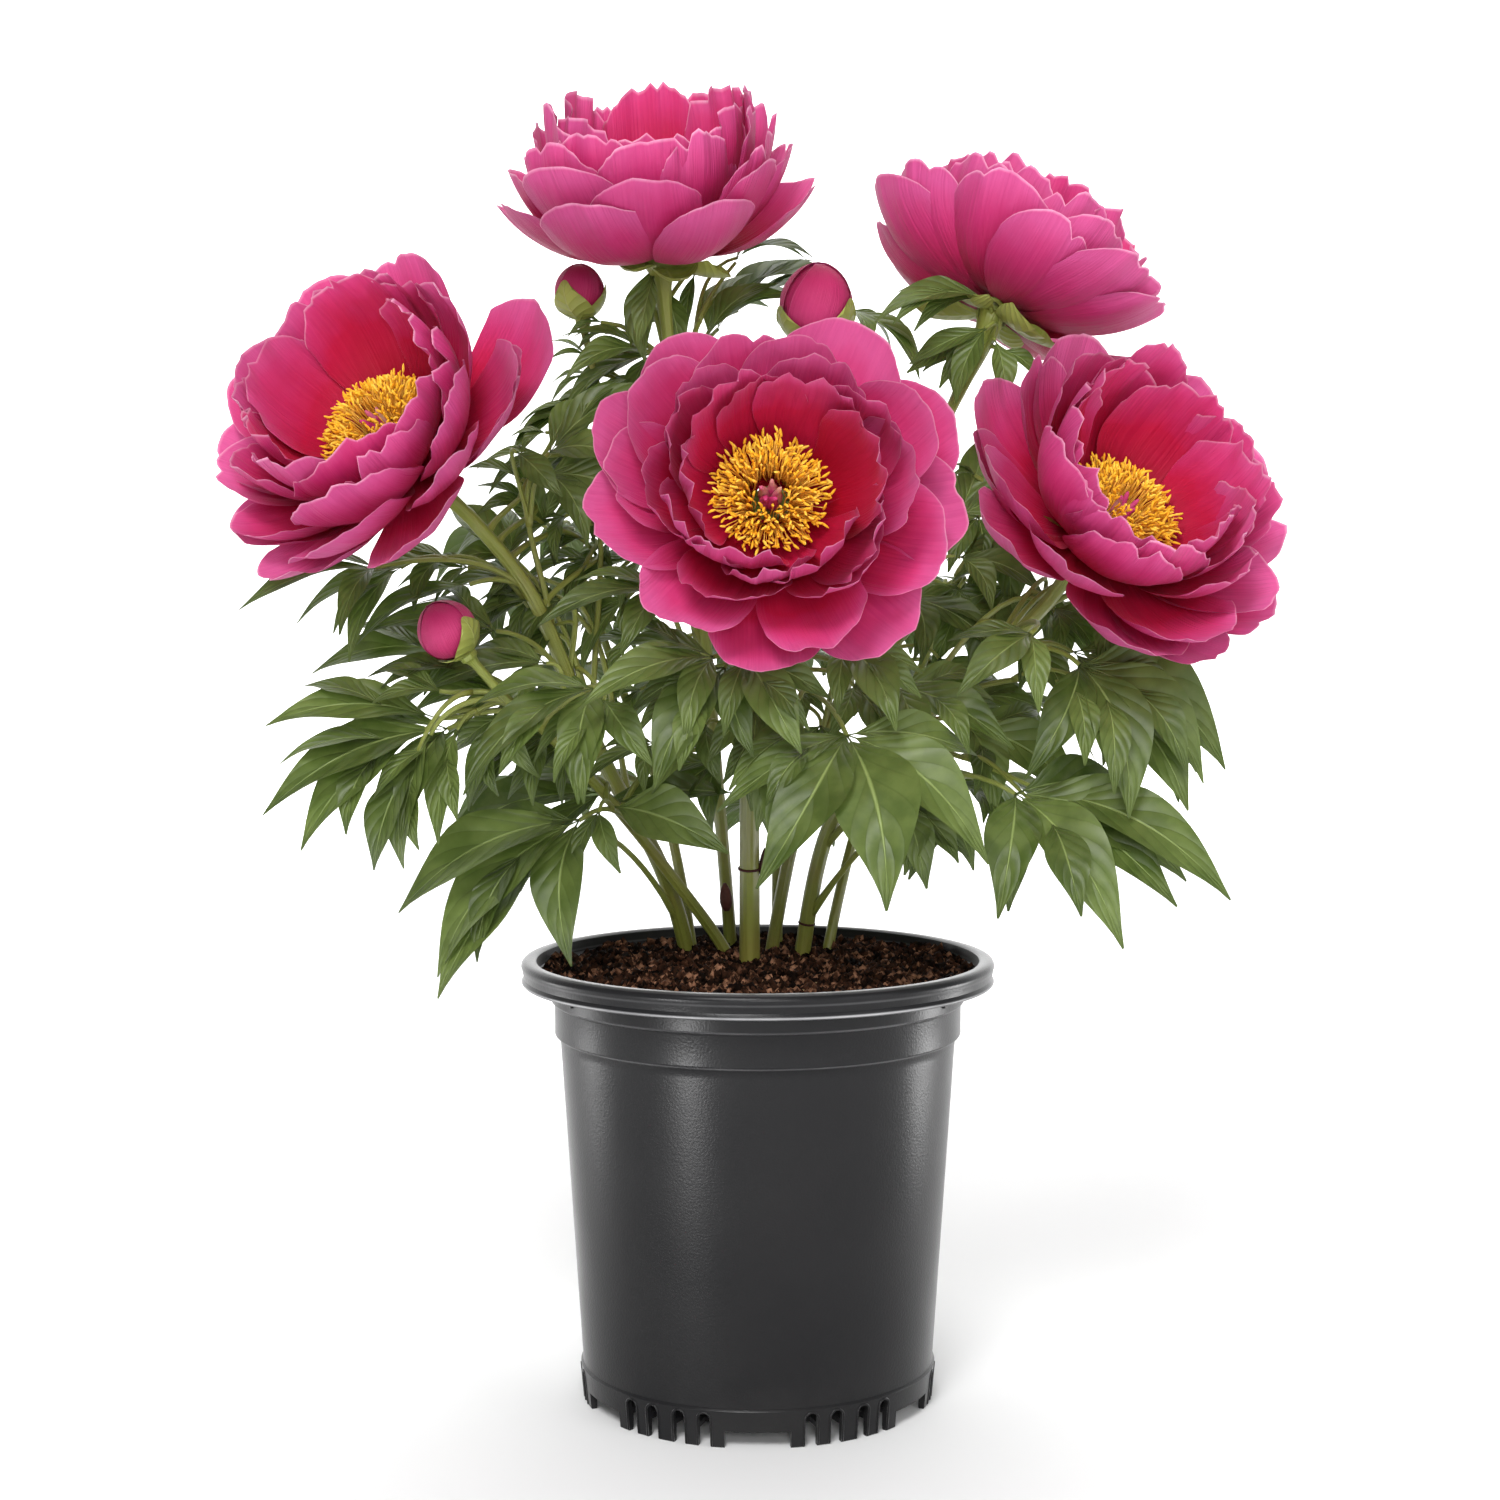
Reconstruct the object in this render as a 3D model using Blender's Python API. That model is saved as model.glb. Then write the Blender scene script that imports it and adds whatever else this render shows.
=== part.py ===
"""A potted peony: leafy stems, five semi-double blooms and three buds in a nursery pot of soil.

Metres, +Z up. The origin is the middle of the pot's foot, on the surface that it stands on, and
the front of the plant, where its biggest bloom faces, is towards -Y. The plant's own points are
written in whole millimetres.
"""

import math
import random

import bpy
from mathutils import Matrix, Vector

MM = 0.001
GAP = 0.0003
UP = Vector((0, 0, 1))

# The pot: a 230 mm nursery pot of thin plastic, turned about its axis. Two ledges run round it
# under the lip, and a low skirt round its foot
POT_SIDES = 30
POT_HEIGHT = 0.216
LIP_RADIUS = 0.115
LIP_DEPTH = 0.0117
MOUTH_RADIUS = 0.1074
LEDGE_RADIUS = 0.1005
LEDGE_HEIGHT = 0.1958
BAND_RADIUS = 0.0988
BAND_HEIGHT = 0.1790
WALL_TOP_RADIUS = 0.0962
FOOT_RADIUS = 0.0845
WALL = 0.0022
FLOOR_TOP = 0.0105
FLOOR = 0.0025
SKIRT_HEIGHT = 0.0180
SKIRT_STEP = 0.0012

# Cuts in the foot: six wide gaps, and between them narrow slots with round tops
GAP_COUNT = 6
GAP_HALF_ANGLE = 10.4
GAP_HEIGHT = 0.0079
SLOT_ANGLES = (16.8, 25.2, 34.8, 43.2)
SLOT_HALF_WIDTH = 0.0031
SLOT_HEIGHT = 0.0165
CUT_INNER = 0.074
CUT_OUTER = 0.094
CUT_BELOW = 0.002

# The soil
SOIL_SIDES = 15
SOIL_TOP = 0.2085
SOIL_BUMP = 0.0016
SOIL_RINGS = (0.086, 0.062, 0.034)
HOLE_BOTTOM = 0.1880
HOLE_SLACK = 0.0009

# Leaves, in shares of a lobe's length: half width, bow of the midrib, drop of the side lobes,
# lift of the edges over the midrib, how far out two lobes part, and where an outer lobe's other
# edge leaves the hub. A side lobe is shorter than the middle one
LEAF_THICKNESS = 0.0010
LOBE_HALF_WIDTH = 0.185
LOBE_BOW = 0.10
LOBE_DROP = 0.20
LOBE_FOLD = 0.30
LOBE_PARTING = 0.17
OUTER_PARTING = 0.102
OUTER_ANGLE = 26
SIDE_LOBE_LOSS = 0.30

# Half of the angle, in degrees, that so many lobes spread over, and the shares of a lobe's length
# where its outline has points
LOBE_SPREAD = {1: 0, 2: 21, 3: 42, 4: 60, 5: 80}
LARGE_LEAF = 0.075
LARGE_STATIONS = (0.42, 0.74)
SMALL_STATIONS = (0.46,)

# A leaf's stalk, and where on it the side leaflet groups branch off
STALK_RADIUS = 0.0017
STALK_STEPS = 3
LONG_STALK = 0.05
STALK_SIDES = 3
STALK_RISE = 0.7
STALK_PULL = 0.35
NECK = 0.004
BRANCHING = 0.55

# How far a leaf's face leans, as a share of straight up: out from the crown, and forward to the
# light where it stands in the front
CROWN_Y = 0.05
LEAN_OUT = 0.35
LEAN_FORWARD = 0.75
FRONT_FROM = 0.09
FRONT_DEPTH = 0.06

# Blooms, in millimetres from the middle of the underside of a bloom's heart. A petal's tip is
# rounded off by TIP_ROUND of its length at its edges, and some have a notch in the middle
PETAL_THICKNESS = 1.3
PETAL_ROWS = 3
TIP_ROUND = 0.20
NOTCHES = (0.0, 0.06, 0.10)
SMALLEST_PETAL = 0.95
TURN_JITTER = 5
HEART = ((9.0, 0.0), (13.5, 0.8), (13.5, 9.0))
BLOOM_SIDES = 8

# Layers of petals, in millimetres: how many, a petal's middle line from foot to tip as the four
# points (radius, height) of a Bezier curve, half its width and its columns of facets, the radius
# that it cups round, how far its edges lie out of line, like a pinwheel's, and the layer's turn
PETAL_LAYERS = (
    {"count": 5, "run": ((9, 1.6), (42, -7), (74, 4), (84, 30)),
     "half": 40, "columns": 4, "cup": 80, "pinwheel": 4, "turn": 0},
    {"count": 5, "run": ((9, 3.4), (40, -2), (68, 14), (77, 42)),
     "half": 37, "columns": 3, "cup": 66, "pinwheel": 4, "turn": 36},
    {"count": 4, "run": ((9, 5.2), (38, 1), (58, 22), (62, 56)),
     "half": 34, "columns": 3, "cup": 52, "pinwheel": 4, "turn": 10},
    {"count": 5, "run": ((9, 7.0), (32, 5), (45, 32), (41, 66)),
     "half": 27, "columns": 3, "cup": 40, "pinwheel": 3, "turn": 40},
)
SEPALS = {"count": 5, "run": ((3, -2), (12, -4), (20, -8), (27, -9)),
          "half": 9, "columns": 2, "cup": 30, "pinwheel": 0, "turn": 15}

# The stamens' ring as a closed outline (radius, height), and the carpels' outline
STAMEN_SIDES = 16
STAMEN_RING = ((8, 9.3), (11.5, 9.3), (24.5, 24), (23, 31), (12.5, 27))
STAMEN_SPIKE = 2.2
SPIKE_LEAN = 0.4
CARPELS = ((6.5, 9.3), (6.5, 17), (2.0, 27))

# Blooms: base in millimetres, the way each faces, its turn about that way in degrees, its size
# and how far it is drawn out along that way
BLOOMS = {
    "left": {"base": (-165, -44, 459), "facing": (-0.46, -0.68, 0.57),
             "turn": 10, "size": 1.06, "stretch": 1.0},
    "top": {"base": (-47, 8, 554), "facing": (-0.05, -0.22, 0.97),
            "turn": 25, "size": 0.97, "stretch": 1.2},
    "front": {"base": (5, -92, 433), "facing": (0.02, -0.97, 0.24),
              "turn": 0, "size": 1.0, "stretch": 1.0},
    "upper_right": {"base": (116, 28, 531), "facing": (0.42, 0.18, 0.89),
                    "turn": 40, "size": 0.97, "stretch": 1.1},
    "right": {"base": (160, -34, 420), "facing": (0.45, -0.66, 0.60),
              "turn": 15, "size": 1.06, "stretch": 1.0},
}

# Buds: the same, with the size that a bud of BUD_RADIUS has as 1
BUD_RADIUS = 18.0
BUD_RINGS = 6
BUD_SIDES = 9
BUD_RIDGE = 0.04
BUDS = {
    "bud_top": {"base": (-86, 32, 527), "facing": (-0.12, -0.05, 1.0), "size": 0.70, "stretch": 1.05},
    "bud_upper_right": {"base": (28, 32, 513), "facing": (0.02, -0.1, 1.0), "size": 1.03, "stretch": 1.10},
    "bud_left_low": {"base": (-134, -62, 366), "facing": (-0.55, -0.25, 0.70), "size": 0.78, "stretch": 1.0},
}

# Sepals on a bud: the angle up its side that each reaches, in radians, and their lift off it
BUD_SEPALS = (1.55, 1.25, 1.40)
BUD_SEPAL_FOOT = 0.16
BUD_SEPAL_ROWS = 3
BUD_SEPAL_HALF = 0.95
BUD_SEPAL_TAPER = 0.10
BUD_SEPAL_LIFT = 1.3
SEPAL_THICKNESS = 1.0

# The calyx that a stem ends in under a flower: depths below the flower's base, and radii
CALYX_DEPTHS = (9.0, 3.5)
CALYX_RADII = (7.0, 8.5)

# Stems: the radius at the foot and at the top in millimetres, what each carries, and the points
# that it passes from the soil up
STEM_SIDES = 5
STEMS = {
    "left": (4.6, 3.4, BLOOMS["left"],
             ((-36, 60, 209), (-49, 45, 255), (-77, 22, 312), (-108, -2, 390), (-136, -14, 428))),
    "left_low": (3.4, 2.2, BUDS["bud_left_low"],
                 ((-15, 45, 209), (-42, 32, 250), (-72, 4, 292), (-100, -34, 328), (-117, -54, 345))),
    "top": (3.6, 2.8, BLOOMS["top"],
            ((-14, 76, 209), (-20, 60, 290), (-30, 38, 409), (-42, 16, 500))),
    "front": (5.5, 4.2, BLOOMS["front"],
              ((-4, 20, 209), (-4, 6, 293), (-3, -14, 360), (1, -46, 415))),
    "upper_right": (3.6, 2.8, BLOOMS["upper_right"],
                    ((7, 60, 209), (24, 55, 290), (61, 46, 389), (94, 34, 480))),
    "right": (4.2, 3.4, BLOOMS["right"],
              ((22, 42, 209), (36, 30, 277), (69, 8, 322), (108, -8, 357), (138, -14, 388))),
    "back_left": (3.2, 1.8, None, ((-34, 74, 209), (-48, 86, 280), (-74, 98, 350), (-92, 104, 400))),
    "back": (3.2, 1.8, None, ((10, 80, 209), (10, 92, 290), (10, 102, 370), (12, 106, 430))),
    "back_right": (3.2, 1.8, None, ((36, 68, 209), (54, 84, 280), (84, 98, 350), (104, 104, 400))),
}

# Side shoots: the share of the stem's height where each leaves, the bud that it carries and the
# points that it passes
SHOOT_RADIUS = 1.7
SHOOT_SIDES = 5
SHOOTS = {
    "top": (0.60, BUDS["bud_top"], ((-58, 34, 440), (-78, 33, 490))),
    "upper_right": (0.55, BUDS["bud_upper_right"], ((52, 42, 430), (34, 36, 475))),
}

# Leaves by stem: the share of the stem's height where the stalk leaves it, then for each leaflet
# group its hub, the tip of its middle lobe, both in millimetres, and its number of lobes
LEAVES = {
    "left": (
        (0.80, (((-180, -30, 405), (-235, -60, 390), 3),
                ((-170, -15, 405), (-215, -50, 370), 2))),
        (0.62, (((-125, -15, 375), (-190, -30, 380), 3),
                ((-135, 0, 360), (-215, 0, 365), 3))),
        (0.72, (((-100, 0, 460), (-50, -5, 495), 3),
                ((-100, -5, 450), (-45, -10, 435), 3),
                ((-115, -10, 460), (-95, -25, 440), 1))),
        (0.55, (((-120, 20, 410), (-155, 35, 440), 3),)),
        (0.66, (((-150, -5, 410), (-195, -15, 400), 3),)),
    ),
    "left_low": (
        (0.95, (((-145, -45, 330), (-225, -80, 300), 3),
                ((-140, -50, 330), (-170, -80, 275), 2))),
        (0.80, (((-75, -70, 350), (-140, -115, 315), 3),
                ((-70, -75, 345), (-85, -115, 305), 3))),
        (0.45, (((-85, -25, 285), (-160, -50, 225), 3),
                ((-75, -35, 290), (-80, -60, 245), 2))),
        (0.62, (((-75, 10, 295), (-165, 20, 275), 3),
                ((-70, -10, 290), (-15, -45, 275), 1))),
        (0.72, (((-100, -30, 360), (-155, -50, 350), 3),)),
    ),
    "top": (
        (0.85, (((-20, 65, 525), (30, 80, 570), 3),
                ((-10, 75, 535), (55, 85, 555), 2))),
        (0.92, (((-50, 5, 545), (-55, -10, 510), 1),)),
        (0.75, (((-55, 15, 510), (-105, 0, 515), 2),
                ((-55, 30, 495), (-95, 35, 480), 2))),
        (0.80, (((-40, 50, 525), (-60, 75, 545), 3),)),
        (0.65, (((5, 80, 470), (35, 105, 450), 3),)),
    ),
    "front": (
        (0.80, (((-20, -85, 365), (-80, -115, 350), 3),
                ((-15, -80, 360), (-50, -115, 315), 3),
                ((-5, -90, 365), (15, -125, 325), 3))),
        (0.62, (((40, -90, 330), (65, -150, 265), 5),
                ((15, -75, 330), (5, -110, 285), 3))),
        (0.90, (((40, -80, 370), (65, -115, 340), 3),
                ((-45, -65, 395), (-95, -95, 385), 3))),
        (0.70, (((65, -50, 350), (115, -80, 325), 3),)),
    ),
    "upper_right": (
        (0.90, (((110, 10, 520), (75, 0, 490), 2),
                ((115, 15, 515), (120, 5, 485), 1))),
        (0.70, (((45, 70, 535), (85, 55, 505), 3),)),
        (0.60, (((100, 45, 430), (120, 60, 475), 3),
                ((100, 30, 410), (145, 30, 395), 3))),
        (0.45, (((75, 30, 390), (120, 15, 365), 3),)),
    ),
    "right": (
        (0.30, (((120, -50, 300), (190, -95, 255), 4),
                ((70, -40, 295), (90, -60, 260), 2))),
        (0.75, (((150, -45, 360), (205, -80, 300), 4),
                ((150, -20, 365), (225, -35, 320), 3))),
        (0.85, (((125, -65, 375), (90, -100, 350), 3),)),
        (0.80, (((160, 5, 395), (205, 0, 360), 3),)),
        (0.95, (((168, -22, 392), (158, -40, 358), 1),)),
        (0.50, (((100, -10, 330), (160, -25, 295), 3),
                ((95, 5, 340), (145, 10, 340), 3))),
    ),
}

# Leaves on the far side, by stem: the share of its height, the way the leaf heads in degrees
# from +X, how far its hub lies out from the stem and up, and its length, in millimetres
OPEN_LEAVES = {
    "back_left": ((0.45, 165, 60, 10, 64), (0.75, 120, 26, 20, 48), (1.00, 155, 36, 28, 58)),
    "back": ((0.40, 62, 26, 0, 48), (0.70, 115, 26, 0, 48), (1.00, 75, 16, 30, 46)),
    "back_right": ((0.45, 12, 60, 10, 64), (0.75, 62, 26, 20, 48), (1.00, 25, 36, 28, 58)),
}
OPEN_DROOP = 0.45
OPEN_SIDE = 0.72
OPEN_BACK = 0.33

# Colours, as red, green and blue in linear light, with roughness
FINISHES = {
    "pot": ((0.045, 0.045, 0.048), 0.35),
    "soil": ((0.035, 0.018, 0.010), 0.95),
    "leaf": ((0.085, 0.140, 0.040), 0.50),
    "petal": ((0.560, 0.035, 0.190), 0.55),
    "stamen": ((0.850, 0.420, 0.030), 0.60),
    "carpel": ((0.300, 0.050, 0.120), 0.60),
}


def finish(name):
    """The material of one of the object's colours, made on its first use."""
    material = bpy.data.materials.get(name)
    if material is None:
        colour, roughness = FINISHES[name]
        material = bpy.data.materials.new(name)
        material.use_nodes = True
        shader = material.node_tree.nodes["Principled BSDF"]
        shader.inputs["Base Color"].default_value = (*colour, 1)
        shader.inputs["Roughness"].default_value = roughness
        material.diffuse_color = (*colour, 1)
    return material


def add_object(name, shape, material):
    """Makes an object of a shape, which is its points and its faces."""
    points, faces = shape
    mesh = bpy.data.meshes.new(name)
    mesh.from_pydata([tuple(point) for point in points], [], faces)
    mesh.materials.append(finish(material))
    thing = bpy.data.objects.new(name, mesh)
    bpy.context.scene.collection.objects.link(thing)
    return thing


def apply_boolean(thing, others, operation, solver):
    """Joins a list of objects to one, or cuts them from it, and removes them."""
    group = bpy.data.collections.new(thing.name + "_others")
    bpy.context.scene.collection.children.link(group)
    for other in others:
        group.objects.link(other)
    modifier = thing.modifiers.new(operation, "BOOLEAN")
    modifier.operation = operation
    modifier.operand_type = "COLLECTION"
    modifier.collection = group
    modifier.solver = solver
    graph = bpy.context.evaluated_depsgraph_get()
    result = bpy.data.meshes.new_from_object(thing.evaluated_get(graph))
    thing.modifiers.clear()
    thing.data = result
    for other in others:
        bpy.data.objects.remove(other)
    bpy.data.collections.remove(group)


def keep_outer_skin(thing):
    """Leaves only the largest skin of a fused mesh: sealed hollows are filled, scraps dropped."""
    mesh = thing.data
    root = list(range(len(mesh.vertices)))

    def find(index):
        while root[index] != index:
            root[index] = root[root[index]]
            index = root[index]
        return index

    for edge in mesh.edges:
        first, second = (find(index) for index in edge.vertices)
        root[first] = second
    sizes = {}
    for polygon in mesh.polygons:
        skin = find(polygon.vertices[0])
        sizes[skin] = sizes.get(skin, 0) + 1
    largest = max(sizes, key=sizes.get)
    kept = [v.index for v in mesh.vertices if find(v.index) == largest]
    if len(kept) == len(mesh.vertices):
        return
    place = {old: new for new, old in enumerate(kept)}
    points = [mesh.vertices[old].co.copy() for old in kept]
    faces = [[place[i] for i in p.vertices] for p in mesh.polygons if p.vertices[0] in place]
    clean = bpy.data.meshes.new(thing.name)
    clean.from_pydata(points, [], faces)
    clean.materials.append(mesh.materials[0])
    thing.data = clean


def fuse(name, shapes, material):
    """One solid of several closed shapes that grow from one another."""
    things = [add_object(name, shape, material) for shape in shapes]
    if len(things) > 1:
        apply_boolean(things[0], things[1:], "UNION", "MANIFOLD")
        keep_outer_skin(things[0])
    things[0].name = name
    things[0].data.shade_smooth()
    return things[0]


def ring_faces(rings, sides, closed=False):
    """Quads between rings of points; a closed run joins the last ring to the first."""
    faces = []
    for ring in range(rings if closed else rings - 1):
        low = ring * sides
        high = (ring + 1) % rings * sides
        for side in range(sides):
            after = (side + 1) % sides
            faces.append((low + side, low + after, high + after, high + side))
    return faces


def in_triangles(faces):
    """The same faces with each quad split in two."""
    return [half for face in faces for half in ((face[0], face[1], face[2]), (face[0], face[2], face[3]))]


def lathe(outline, sides):
    """A solid turned about +Z from its outline (radius, height), which runs from low to high outside.

    The outline's ends lie on the axis, or are capped flat.
    """
    rings = [point for point in outline if point[0] > 0]
    points = [
        (radius * math.cos(math.tau * side / sides), radius * math.sin(math.tau * side / sides), height)
        for radius, height in rings
        for side in range(sides)
    ]
    faces = ring_faces(len(rings), sides)
    top = (len(rings) - 1) * sides
    points += [(0, 0, outline[0][1]), (0, 0, outline[-1][1])]
    for side in range(sides):
        after = (side + 1) % sides
        faces.append((len(points) - 2, after, side))
        faces.append((len(points) - 1, top + side, top + after))
    return points, faces


def tube(path, radii, sides):
    """A closed tube along a path, with a radius for each of its points."""
    heading = (path[1] - path[0]).normalized()
    across = heading.orthogonal().normalized()
    points = []
    for index, point in enumerate(path):
        before = path[max(index - 1, 0)]
        after = path[min(index + 1, len(path) - 1)]
        heading = (after - before).normalized()
        across = (across - heading * across.dot(heading)).normalized()
        third = heading.cross(across)
        for side in range(sides):
            angle = math.tau * side / sides
            points.append(point + (across * math.cos(angle) + third * math.sin(angle)) * radii[index])
    faces = in_triangles(ring_faces(len(path), sides))
    last = (len(path) - 1) * sides
    for side in range(1, sides - 1):
        faces.append((0, side + 1, side))
        faces.append((last, last + side, last + side + 1))
    return points, faces


def smooth_path(knots, steps):
    """Points on a smooth curve through the knots, with so many steps from one knot to the next."""
    path = []
    for index in range(len(knots) - 1):
        first = knots[max(index - 1, 0)]
        start, end = knots[index], knots[index + 1]
        last = knots[min(index + 2, len(knots) - 1)]
        for step in range(steps):
            t = step / steps
            path.append(
                0.5 * (2 * start + (end - first) * t + (2 * first - 5 * start + 4 * end - last) * t**2
                       + (3 * start - first - 3 * end + last) * t**3)
            )
    path.append(knots[-1])
    return path


def bezier(run, t):
    """A point on a cubic Bezier curve."""
    a, b, c, d = (Vector(point) for point in run)
    s = 1 - t
    return a * s**3 + b * 3 * s * s * t + c * 3 * s * t * t + d * t**3


def bezier_heading(run, t):
    """The direction of a cubic Bezier curve."""
    a, b, c, d = (Vector(point) for point in run)
    s = 1 - t
    return ((b - a) * s * s + (c - b) * 2 * s * t + (d - c) * t * t).normalized()


def blade(rows, lifts):
    """A closed blade from a grid of middle points, with the way and distance its two faces part.

    It starts in one point, its root. Both faces share the outline's points and are split into the
    same triangles.
    """
    count, width = len(rows), len(rows[0])
    points = [rows[0][0]]
    upper = {(0, j): 0 for j in range(width)}
    lower = dict(upper)
    for i in range(1, count):
        for j in range(width):
            if i == count - 1 or j in (0, width - 1):
                upper[i, j] = lower[i, j] = len(points)
                points.append(rows[i][j])
            else:
                upper[i, j] = len(points)
                lower[i, j] = len(points) + 1
                points += [rows[i][j] + lifts[i][j], rows[i][j] - lifts[i][j]]
    faces = []
    for i in range(count - 1):
        for j in range(width - 1):
            a, b, c, d = (i, j), (i, j + 1), (i + 1, j + 1), (i + 1, j)
            if (2 * i < count - 2) == (2 * j < width - 2):
                halves = (a, b, c), (a, c, d)
            else:
                halves = (a, b, d), (b, c, d)
            for one, two, three in halves:
                if upper[one] != upper[two]:
                    faces.append((upper[one], upper[two], upper[three]))
                    faces.append((lower[one], lower[three], lower[two]))
    return points, faces


def petal_width(v):
    """The share of its full width that a petal has along its length."""
    return 0.13 + 0.87 * math.sin(math.pi / 2 * min(v / 0.65, 1)) ** 1.2 - 0.16 * max(v - 0.75, 0) / 0.25


def petal(layer, turn, share, notch):
    """One petal in millimetres, as a blade in the frame of its bloom, whose axis is +Z."""
    rows, lifts = [], []
    around = Matrix.Rotation(math.radians(turn), 3, "Z")
    columns, cup = layer["columns"], layer["cup"]
    for i in range(PETAL_ROWS + 1):
        row, lift = [], []
        for j in range(columns + 1):
            u = 2 * j / columns - 1
            v = i / PETAL_ROWS * (1 - TIP_ROUND * abs(u) ** 2.4 - notch * (1 - abs(u)) ** 4)
            radius, height = bezier(layer["run"], v)
            out, rise = bezier_heading(layer["run"], v)
            angle = u * layer["half"] * petal_width(v) / cup
            inward = Vector((-rise, 0, out))
            point = Vector((radius, cup * math.sin(angle), height))
            point += inward * (cup * (1 - math.cos(angle)) + layer["pinwheel"] * u * v**0.7)
            row.append(around @ point * share)
            outward = Vector((0, math.sin(angle), 0)) - inward * math.cos(angle)
            lift.append(around @ outward * PETAL_THICKNESS / 2)
        rows.append(row)
        lifts.append(lift)
    return blade(rows, lifts)


def placed(shape, frame):
    """A shape moved by a matrix."""
    points, faces = shape
    return [frame @ Vector(point) for point in points], faces


def flower_frame(flower):
    """The matrix that carries a flower's millimetres from its own frame to the plant, in metres."""
    tilt = UP.rotation_difference(Vector(flower["facing"]).normalized()).to_matrix().to_4x4()
    turn = Matrix.Rotation(math.radians(flower.get("turn", 0)), 4, "Z")
    grown = Matrix.Diagonal((flower["size"], flower["size"], flower["size"] * flower["stretch"], 1))
    return Matrix.Translation(Vector(flower["base"]) * MM) @ tilt @ turn @ grown @ Matrix.Scale(MM, 4)


def stamen_ring():
    """The ring of stamens: one closed body with a spiky skin."""
    points = []
    for index, (radius, height) in enumerate(STAMEN_RING):
        for side in range(STAMEN_SIDES):
            angle = math.tau * side / STAMEN_SIDES
            spike = STAMEN_SPIKE * (-1) ** (side + index) if height > STAMEN_RING[0][1] else 0
            reach = radius + spike * SPIKE_LEAN
            points.append((reach * math.cos(angle), reach * math.sin(angle), height + spike))
    return points, in_triangles(ring_faces(len(STAMEN_RING), STAMEN_SIDES, True))


def build_bloom(name, flower):
    """A bloom's petals, stamens and carpels, each in its place on the plant."""
    draw = random.Random(name)
    frame = flower_frame(flower)
    shapes = [lathe(HEART, BLOOM_SIDES)]
    for layer in PETAL_LAYERS:
        for index in range(layer["count"]):
            turn = layer["turn"] + 360 * index / layer["count"] + draw.uniform(-TURN_JITTER, TURN_JITTER)
            shapes.append(petal(layer, turn, draw.uniform(SMALLEST_PETAL, 1), draw.choice(NOTCHES)))
    fuse("petals_" + name, [placed(shape, frame) for shape in shapes], "petal")
    fuse("stamens_" + name, [placed(stamen_ring(), frame)], "stamen")
    fuse("carpels_" + name, [placed(lathe(CARPELS, BLOOM_SIDES), frame)], "carpel")


def build_bud(name, flower):
    """A bud: a ball of closed petals, whose overlaps wind up it as low ridges."""
    points = []
    for ring in range(1, BUD_RINGS):
        polar = math.pi * ring / BUD_RINGS
        for side in range(BUD_SIDES):
            angle = math.tau * side / BUD_SIDES
            ridge = 1 - BUD_RIDGE * (0.5 + 0.5 * math.sin(3 * angle + 2 * polar)) * math.sin(polar)
            reach = BUD_RADIUS * math.sin(polar) * ridge
            height = BUD_RADIUS * (1 - math.cos(polar))
            points.append((reach * math.cos(angle), reach * math.sin(angle), height))
    faces = in_triangles(ring_faces(BUD_RINGS - 1, BUD_SIDES))
    top = (BUD_RINGS - 2) * BUD_SIDES
    points += [(0, 0, 0), (0, 0, 2 * BUD_RADIUS)]
    for side in range(BUD_SIDES):
        after = (side + 1) % BUD_SIDES
        faces.append((len(points) - 2, after, side))
        faces.append((len(points) - 1, top + side, top + after))
    fuse(name, [placed((points, faces), flower_frame(flower))], "petal")


def bud_sepals():
    """Three sepals that hug a bud, as blades in the bud's frame."""
    shapes = []
    for index, reach in enumerate(BUD_SEPALS):
        rows, lifts = [], []
        for i in range(BUD_SEPAL_ROWS + 1):
            row, lift = [], []
            for u in (-1, 0, 1):
                share = i / BUD_SEPAL_ROWS * (1 - 0.25 * abs(u))
                polar = BUD_SEPAL_FOOT + (reach - BUD_SEPAL_FOOT) * share
                angle = math.tau * index / len(BUD_SEPALS) + u * (BUD_SEPAL_HALF - BUD_SEPAL_TAPER * i)
                flat = math.sin(polar)
                out = Vector((math.cos(angle) * flat, math.sin(angle) * flat, -math.cos(polar)))
                row.append(out * (BUD_RADIUS + BUD_SEPAL_LIFT) + UP * BUD_RADIUS)
                lift.append(out * SEPAL_THICKNESS / 2)
            rows.append(row)
            lifts.append(lift)
        shapes.append(blade(rows, lifts))
    return shapes


def sepals(flower):
    """The sepals under a flower, in their place on the plant."""
    if "turn" not in flower:
        return [placed(shape, flower_frame(flower)) for shape in bud_sepals()]
    count = SEPALS["count"]
    turns = [SEPALS["turn"] + 360 * index / count for index in range(count)]
    return [placed(petal(SEPALS, turn, 1, 0), flower_frame(flower)) for turn in turns]


def lobe_width(s):
    """The share of its full width that a lobe has along its length."""
    return math.sin(math.pi * s**0.8)


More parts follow.
